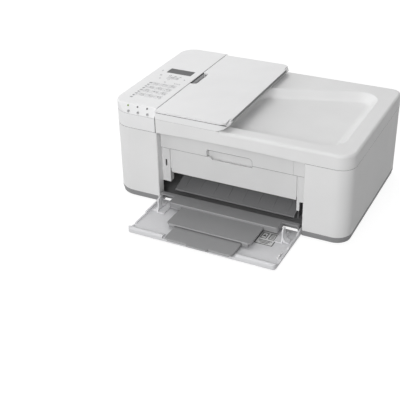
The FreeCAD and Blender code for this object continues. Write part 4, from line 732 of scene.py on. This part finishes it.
def feeder_shades():
    side = plane((feeder_high.x, FRONT, TOP), (0, 1, 0), (0, 0, 1))
    under = [bar(*SIDE_Y, FEEDER_LEDGE - SIDE_DROP[0], FEEDER_LEDGE - SIDE_DROP[1])]
    drawn("feeder_side_shade", side, "lid", "tray_grey", LINE_SHADE, under)
    ledge = [bar(FEEDER_R - LEDGE_W, FEEDER_R, *HINGE_Y)]
    low, high = FEEDER_LEDGE + LIFT, FEEDER_LEDGE + SHADE_T
    drawn("feeder_ledge_shade", SHEET, "lid", "tray_grey", LINE_SHADE, ledge, low, high)
    axis = Vector((feeder_high.x - (HINGE_IN + HINGE_R) * MM, FRONT, TOP - HINGE_R * MM))
    across = plane(axis, (1, 0, 0), (0, 0, 1))
    skin = [band(0, 0, HINGE_R + HINGE_OUT, HINGE_SKIN, *HINGE_ANGLES, HINGE_STEPS)]
    drawn("flap_hinge_shade", across, "document_tray", "tray_grey", LINE_SHADE, skin, -HINGE_Y[1], -HINGE_Y[0])


# Grey band at the foot of the case
FOOT_BAND_H = 4.2
FOOT_BAND_T = 0.15


def foot_band():
    flats = round_case(-PROUD, FOOT_BAND_T, CASE_RUNS + ("back",))
    drawn("foot_band", SHEET, BODY, "grey_base", BASE_GREY, flats, CASE_FOOT, CASE_FOOT + FOOT_BAND_H)


# Painted shade: dark lines along the joints and round the grip of the fascia, where shade falls; measured
# from the printer's middle and from the ground
OPENING_TOP = 107.0
RECESS = (-127.4, 142.4)
GRIP = (-37.5, 46.5)
GRIP_TOP = 120.0
GRIP_R = 7.0
GRIP_LINE = 0.4
FASCIA_LINE = 0.5


def fascia_shade_lines():
    face = plane((0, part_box("front_fascia")[0].y, 0), (1, 0, 0), (0, 0, 1))
    left, right = GRIP
    above = OPENING_TOP + FASCIA_LINE
    bend = GRIP_TOP - GRIP_R
    flats = [
        bar(RECESS[0], left, OPENING_TOP, above),
        bar(right, RECESS[1], OPENING_TOP, above),
        bar(left, right - GRIP_R, GRIP_TOP, GRIP_TOP + FASCIA_LINE),
        band(right - GRIP_R, bend, GRIP_R + GRIP_LINE, GRIP_LINE, 0, 90),
        bar(right, right + GRIP_LINE, above, bend),
        bar(left - GRIP_LINE, left, above, GRIP_TOP),
    ]
    drawn("fascia_shade_lines", face, BODY, "tray_grey", SEAM_SHADE, flats)


# Fillers that close the gaps beside the output cover, as (left, right, face)
FILLERS = {"left": (-112.45, -108.8, 18.0), "right": (125.65, 126.45, 16.5)}
FILLER_FOOT = 66.0
FILLER_TOP = 105.6
FILLER_T = 2.0
FILLER_ROUND = 0.2


def cover_fillers():
    ground = plane((0, FRONT, 0), (1, 0, 0), (0, 1, 0))
    for side, (low, high, face) in FILLERS.items():
        strip = [rounded((low + high) / 2, face + FILLER_T / 2, high - low, FILLER_T, FILLER_ROUND)]
        drawn("cover_filler_" + side, ground, BODY, "light_shell", FASCIA_SHADED, strip, FILLER_FOOT, FILLER_TOP)


# Bezel that covers the left end of the display
BEZEL_W = 2.6
BEZEL_GAP = 0.1
BEZEL_ROUND = 0.4
BEZEL_TOP = 0.05


def bezel():
    low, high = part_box("lcd_window")
    x, y = (low.x - LEFT) / MM + BEZEL_W / 2, on_panel("lcd_window")[1]
    deep = (high.y - low.y) / MM
    flats = [rounded(x, y, BEZEL_W - BEZEL_GAP, deep - 2 * BEZEL_GAP, BEZEL_ROUND)]
    foot = (high.z - TOP) / MM + LIFT
    drawn("display_bezel", SHEET, BODY, "white_shell", PANEL, flats, foot, BEZEL_TOP)


# Grey floor and walls in the finger notch of the document feeder
NOTCH_X = (0.4, 11.6)
NOTCH_Y = (131.4, 187.6)
NOTCH_FLOOR = -10.0
NOTCH_TOP = -4.2
NOTCH_ROUND = 1.0
NOTCH_FLOOR_T = 0.4
NOTCH_WALL_T = 0.3
NOTCH_WALL_GAP = 1.2


def notch_grey():
    left, right = FEEDER_L + NOTCH_X[0], FEEDER_L + NOTCH_X[1]
    front, back = NOTCH_Y
    floor = [rounded((left + right) / 2, (front + back) / 2, right - left, back - front, NOTCH_ROUND)]
    low, high = NOTCH_FLOOR + 2 * LIFT, NOTCH_FLOOR + NOTCH_FLOOR_T
    drawn("notch_floor", SHEET, "lid", "tray_grey", LINER, floor, low, high)
    across = (left + NOTCH_WALL_GAP, right - NOTCH_WALL_GAP)
    walls = [
        bar(right - NOTCH_WALL_T, right, front + NOTCH_WALL_GAP, back - NOTCH_WALL_GAP),
        bar(*across, front, front + NOTCH_WALL_T),
        bar(*across, back - NOTCH_WALL_T, back),
    ]
    drawn("notch_walls", SHEET, "lid", "tray_grey", LINER, walls, high, NOTCH_TOP)


# Label with signs for loading paper, on the floor of the front tray
TRAY_TOP = 7.0
LABEL_AT = (97.5, -37.5)
LABEL_SIZE = (33.0, 41.0)
LABEL_ROUND = 2.0
LABEL_EDGE = 0.3
LABEL_LINE = 1.6
PICTURE_AT = (7.2, 6.5)
PICTURE_SIZE = (11.0, 17.0)
PICTURE_LINE = 1.4
LOAD_ARROW = 3.8
LOAD_ARROW_UP = 6.0
ROW_COUNT = 3
ROW_PITCH = 3.6
PAGE_ROW_UP = 3.0
PAGE_ROW = 6.0
TEXT_ROW_UP = -7.8
TEXT_ROW = 23.0
TEXT_ROW_LESS = 4.0
TEXT_ROW_LINE = 1.5


def tray_label():
    where = plane((0, FRONT, TRAY_TOP * MM), (1, 0, 0), (0, 1, 0))
    x, y = LABEL_AT
    wide, tall = LABEL_SIZE
    film = [rounded(x, y, wide, tall, LABEL_ROUND)]
    drawn("tray_label", where, "front_tray", "light_shell", LABEL, film, 0.0, FILM_T)
    flats = border(x, y, wide - 2 * LABEL_EDGE, tall - 2 * LABEL_EDGE, LABEL_LINE)
    left, right, up = x - PICTURE_AT[0], x + PICTURE_AT[0], y + PICTURE_AT[1]
    for spot in (left, right):
        flats += border(spot, up, *PICTURE_SIZE, PICTURE_LINE)
    flats.append(arrow(left, y + LOAD_ARROW_UP, LOAD_ARROW, 90))
    for i in range(ROW_COUNT):
        step = ROW_PITCH * i
        flats.append(rect(right, y + PAGE_ROW_UP + step, PAGE_ROW, PICTURE_LINE))
        flats.append(rect(x, y + TEXT_ROW_UP - step, TEXT_ROW - TEXT_ROW_LESS * i, TEXT_ROW_LINE))
    drawn("tray_label_signs", where, "front_tray", "light_shell", CHIP, flats, FILM_T, FILM_T + INK_T)


# Small catch at the right edge of the front tray
CATCH_X = 134.0
CATCH_T = 3.0
CATCH = [
    (-86.0, 7.0), (-66.0, 7.0), (-66.0, 8.2), (-71.0, 8.6),
    (-76.0, 11.0), (-80.0, 11.0), (-80.0, 9.6), (-86.0, 9.6),
]


def tray_catch():
    where = plane((CATCH_X * MM, FRONT, 0), (0, 1, 0), (0, 0, 1))
    drawn("tray_catch", where, "front_tray", "light_shell", LABEL, [CATCH], 0.0, CATCH_T)


# Painted highlights: pale strips along the front edges of the grey plates
EDGE_FACING = 0.6
EDGE_FALL = 1.0
EDGE_LEVEL = 0.01
EDGE_LEAST = 5.0
EDGE_H = 0.5


def front_edges(mesh):
    """Level upper edges of the faces that look to the front, from left to right."""
    for face in mesh.polygons:
        corners = [mesh.vertices[i].co for i in face.vertices]
        top = max(corner.z for corner in corners)
        fall = top - min(corner.z for corner in corners)
        edge = sorted((c for c in corners if top - c.z < EDGE_LEVEL * MM), key=lambda corner: corner.x)
        if face.normal.y > -EDGE_FACING or fall < EDGE_FALL * MM or len(edge) != 2:
            continue
        if (edge[1] - edge[0]).length >= EDGE_LEAST * MM:
            yield edge


def plate_edge_highlights():
    for node in ("output_tray", "output_extension"):
        work = bmesh.new()
        for left, right in front_edges(NODES[node].data):
            strip = rect(0, -EDGE_H / 2, (right - left).length / MM, EDGE_H)
            where = plane((left + right) / 2, (right - left).normalized(), (0, 0, 1))
            bmesh.ops.transform(work, matrix=where, verts=rise(work, strip, 0.0, INK_T))
        bmesh.ops.recalc_face_normals(work, faces=work.faces)
        add(node + "_edge", work, node, EDGE_HIGHLIGHT)


# Pins and contacts of the sockets on the back
PIN = [(0, -13.0), (1.15, -13.0), (1.15, -4.6), (0.8, -3.9), (0, -3.7)]
PIN_APART = 4.3
SOCKET_COUNT = 3
SOCKET_FIRST = 12.0
SOCKET_PITCH = 19.0
CONTACT_COUNT = 5
CONTACT_FIRST = -2.5
CONTACT_PITCH = 1.25
CONTACT_DROP = 3.2
CONTACT_SIZE = (0.45, 1.2)
CONTACT_DEPTH = (-12.0, -3.0)


def socket_details():
    back = plane((0, case_high.y, 0), (-1, 0, 0), (0, 0, 1))
    spot = middle("power_inlet") / MM
    pins = [(side * PIN_APART - spot.x, spot.z, PIN) for side in (-1, 1)]
    drawn("inlet_pins", back, BODY, "steel", STEEL, rounds=pins)
    first = -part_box("signal_sockets")[0].x / MM - SOCKET_FIRST + CONTACT_FIRST
    z = middle("signal_sockets").z / MM - CONTACT_DROP
    contacts = []
    for i in range(SOCKET_COUNT):
        x = first - SOCKET_PITCH * i
        contacts += [rect(x + CONTACT_PITCH * j, z, *CONTACT_SIZE) for j in range(CONTACT_COUNT)]
    drawn("socket_contacts", back, BODY, "steel", BRASS, contacts, *CONTACT_DEPTH)


# Screws and a bare plate on the underside
SCREW = [(0, -0.2), (2.8, -0.2), (2.8, 0.5), (2.5, 0.8), (1.2, 0.95), (0, 1.0)]
SCREWS = ((-190, -75), (190, -75), (-190, -220), (190, -220), (-60, -150), (60, -150))
SLOT_LONG = 2.6
SLOT_W = 0.5
SLOT_ARM = 1.1
SLOT_ARM_AT = 0.8
SLOT_Z = (0.9, 1.02)
PLATE_AT = (0, -245)
PLATE_SIZE = (92, 34)
PLATE_ROUND = 2.0
PLATE_T = 0.15


def underside():
    where = plane((0, FRONT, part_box("base_tray")[0].z), (1, 0, 0), (0, -1, 0))
    heads = [(x, y, SCREW) for x, y in SCREWS]
    drawn("base_screws", where, BODY, "steel", STEEL, rounds=heads)
    slots = []
    for x, y in SCREWS:
        slots.append(rect(x, y, SLOT_LONG, SLOT_W))
        slots += [rect(x, y + side * SLOT_ARM_AT, SLOT_W, SLOT_ARM) for side in (1, -1)]
    drawn("screw_slots", where, BODY, "black_plastic", BLACK, slots, *SLOT_Z)
    rating = [rounded(*PLATE_AT, *PLATE_SIZE, PLATE_ROUND)]
    drawn("rating_plate", where, BODY, "light_shell", LABEL, rating, 0.0, PLATE_T)


# Labels on the cartridges, with a band for each ink
INKS = {"black_cartridge": (LINER,), "colour_cartridge": (CYAN, MAGENTA, YELLOW)}
INK_LABEL_Y = 8.0
INK_LABEL_SIZE = (22.0, 26.0)
INK_LABEL_ROUND = 1.5
INK_BAND_Y = 14.0
INK_BAND_SIZE = (18.0, 6.0)


def cartridge_labels():
    for node, tints in INKS.items():
        where = on_top(node)
        film = [rounded(0, INK_LABEL_Y, *INK_LABEL_SIZE, INK_LABEL_ROUND)]
        drawn(node + "_label", where, "carriage", "cartridge", LABEL, film, 0.0, FILM_T)
        long, tall = INK_BAND_SIZE
        wide = long / len(tints)
        for i, tint in enumerate(tints):
            patch = [rect(wide * (i + 0.5) - long / 2, INK_BAND_Y, wide, tall)]
            drawn(f"{node}_band_{i}", where, "carriage", "cartridge", tint, patch, FILM_T, FILM_T + INK_T)


# Light guide and lens slit of the scan head, as (x, width, corner, height)
SCAN_LIGHT = (-5.0, 5.0, 2.4, 0.5)
SCAN_SLIT = (3.5, 3.0, 1.4, 0.2)
SCAN_ENDS = 4.0


def scan_details():
    low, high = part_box("scan_head")
    where = on_top("scan_head")
    long = (high.y - low.y) / MM - 2 * SCAN_ENDS
    x, wide, corner, tall = SCAN_LIGHT
    light = [rounded(x, 0, wide, long, corner)]
    drawn("scan_light", where, "scan_head", "clear_film", LIGHT_BAR, light, 0.0, tall)
    x, wide, corner, tall = SCAN_SLIT
    slit = [rounded(x, 0, wide, long, corner)]
    drawn("scan_slit", where, "scan_head", "glass", CHIP, slit, 0.0, tall)


# Parts on the circuit board; chips are (x, y, width, height)
CHIPS = ((-30, 6, 24, 24), (10, 14, 14, 10), (10, -6, 14, 10), (46, 22, 10, 6), (-62, -14, 12, 8))
CHIP_T = 1.6
PLUG_COUNT = 6
PLUG_AT = (-60, -38)
PLUG_PITCH = 22
PLUG_SIZE = (16, 6)
PLUG_T = 6.0
CAN = [(0, 0), (4.0, 0), (4.0, 9.6), (3.6, 10.0), (0, 10.0)]
CAN_COUNT = 3
CAN_AT = (62, -10)
CAN_PITCH = 12


def board_details():
    spot = middle("main_board")
    face = plane((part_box("main_board")[1].x, spot.y, spot.z), (0, 1, 0), (0, 0, 1))
    chips = [rect(*chip) for chip in CHIPS]
    drawn("board_chips", face, BODY, "black_plastic", CHIP, chips, 0.0, CHIP_T)
    plugs = [rect(PLUG_AT[0] + PLUG_PITCH * i, PLUG_AT[1], *PLUG_SIZE) for i in range(PLUG_COUNT)]
    drawn("board_plugs", face, BODY, "light_shell", NYLON, plugs, 0.0, PLUG_T)
    cans = [(CAN_AT[0], CAN_AT[1] + CAN_PITCH * i, CAN) for i in range(CAN_COUNT)]
    drawn("board_capacitors", face, BODY, "steel", STEEL, rounds=cans)


make_camera()
make_world()
for lamp_name, lamp_values in LAMPS.items():
    make_lamp(lamp_name, *lamp_values)
make_floor()
dress_nodes()
key_legends()
panel_signs()
slope_details()
seam_shades()
panel_edge_shades()
feeder_shade_lines()
feeder_shades()
foot_band()
fascia_shade_lines()
cover_fillers()
bezel()
notch_grey()
tray_label()
tray_catch()
plate_edge_highlights()
socket_details()
underside()
cartridge_labels()
scan_details()
board_details()

bpy.context.scene.view_settings.view_transform = "Standard"
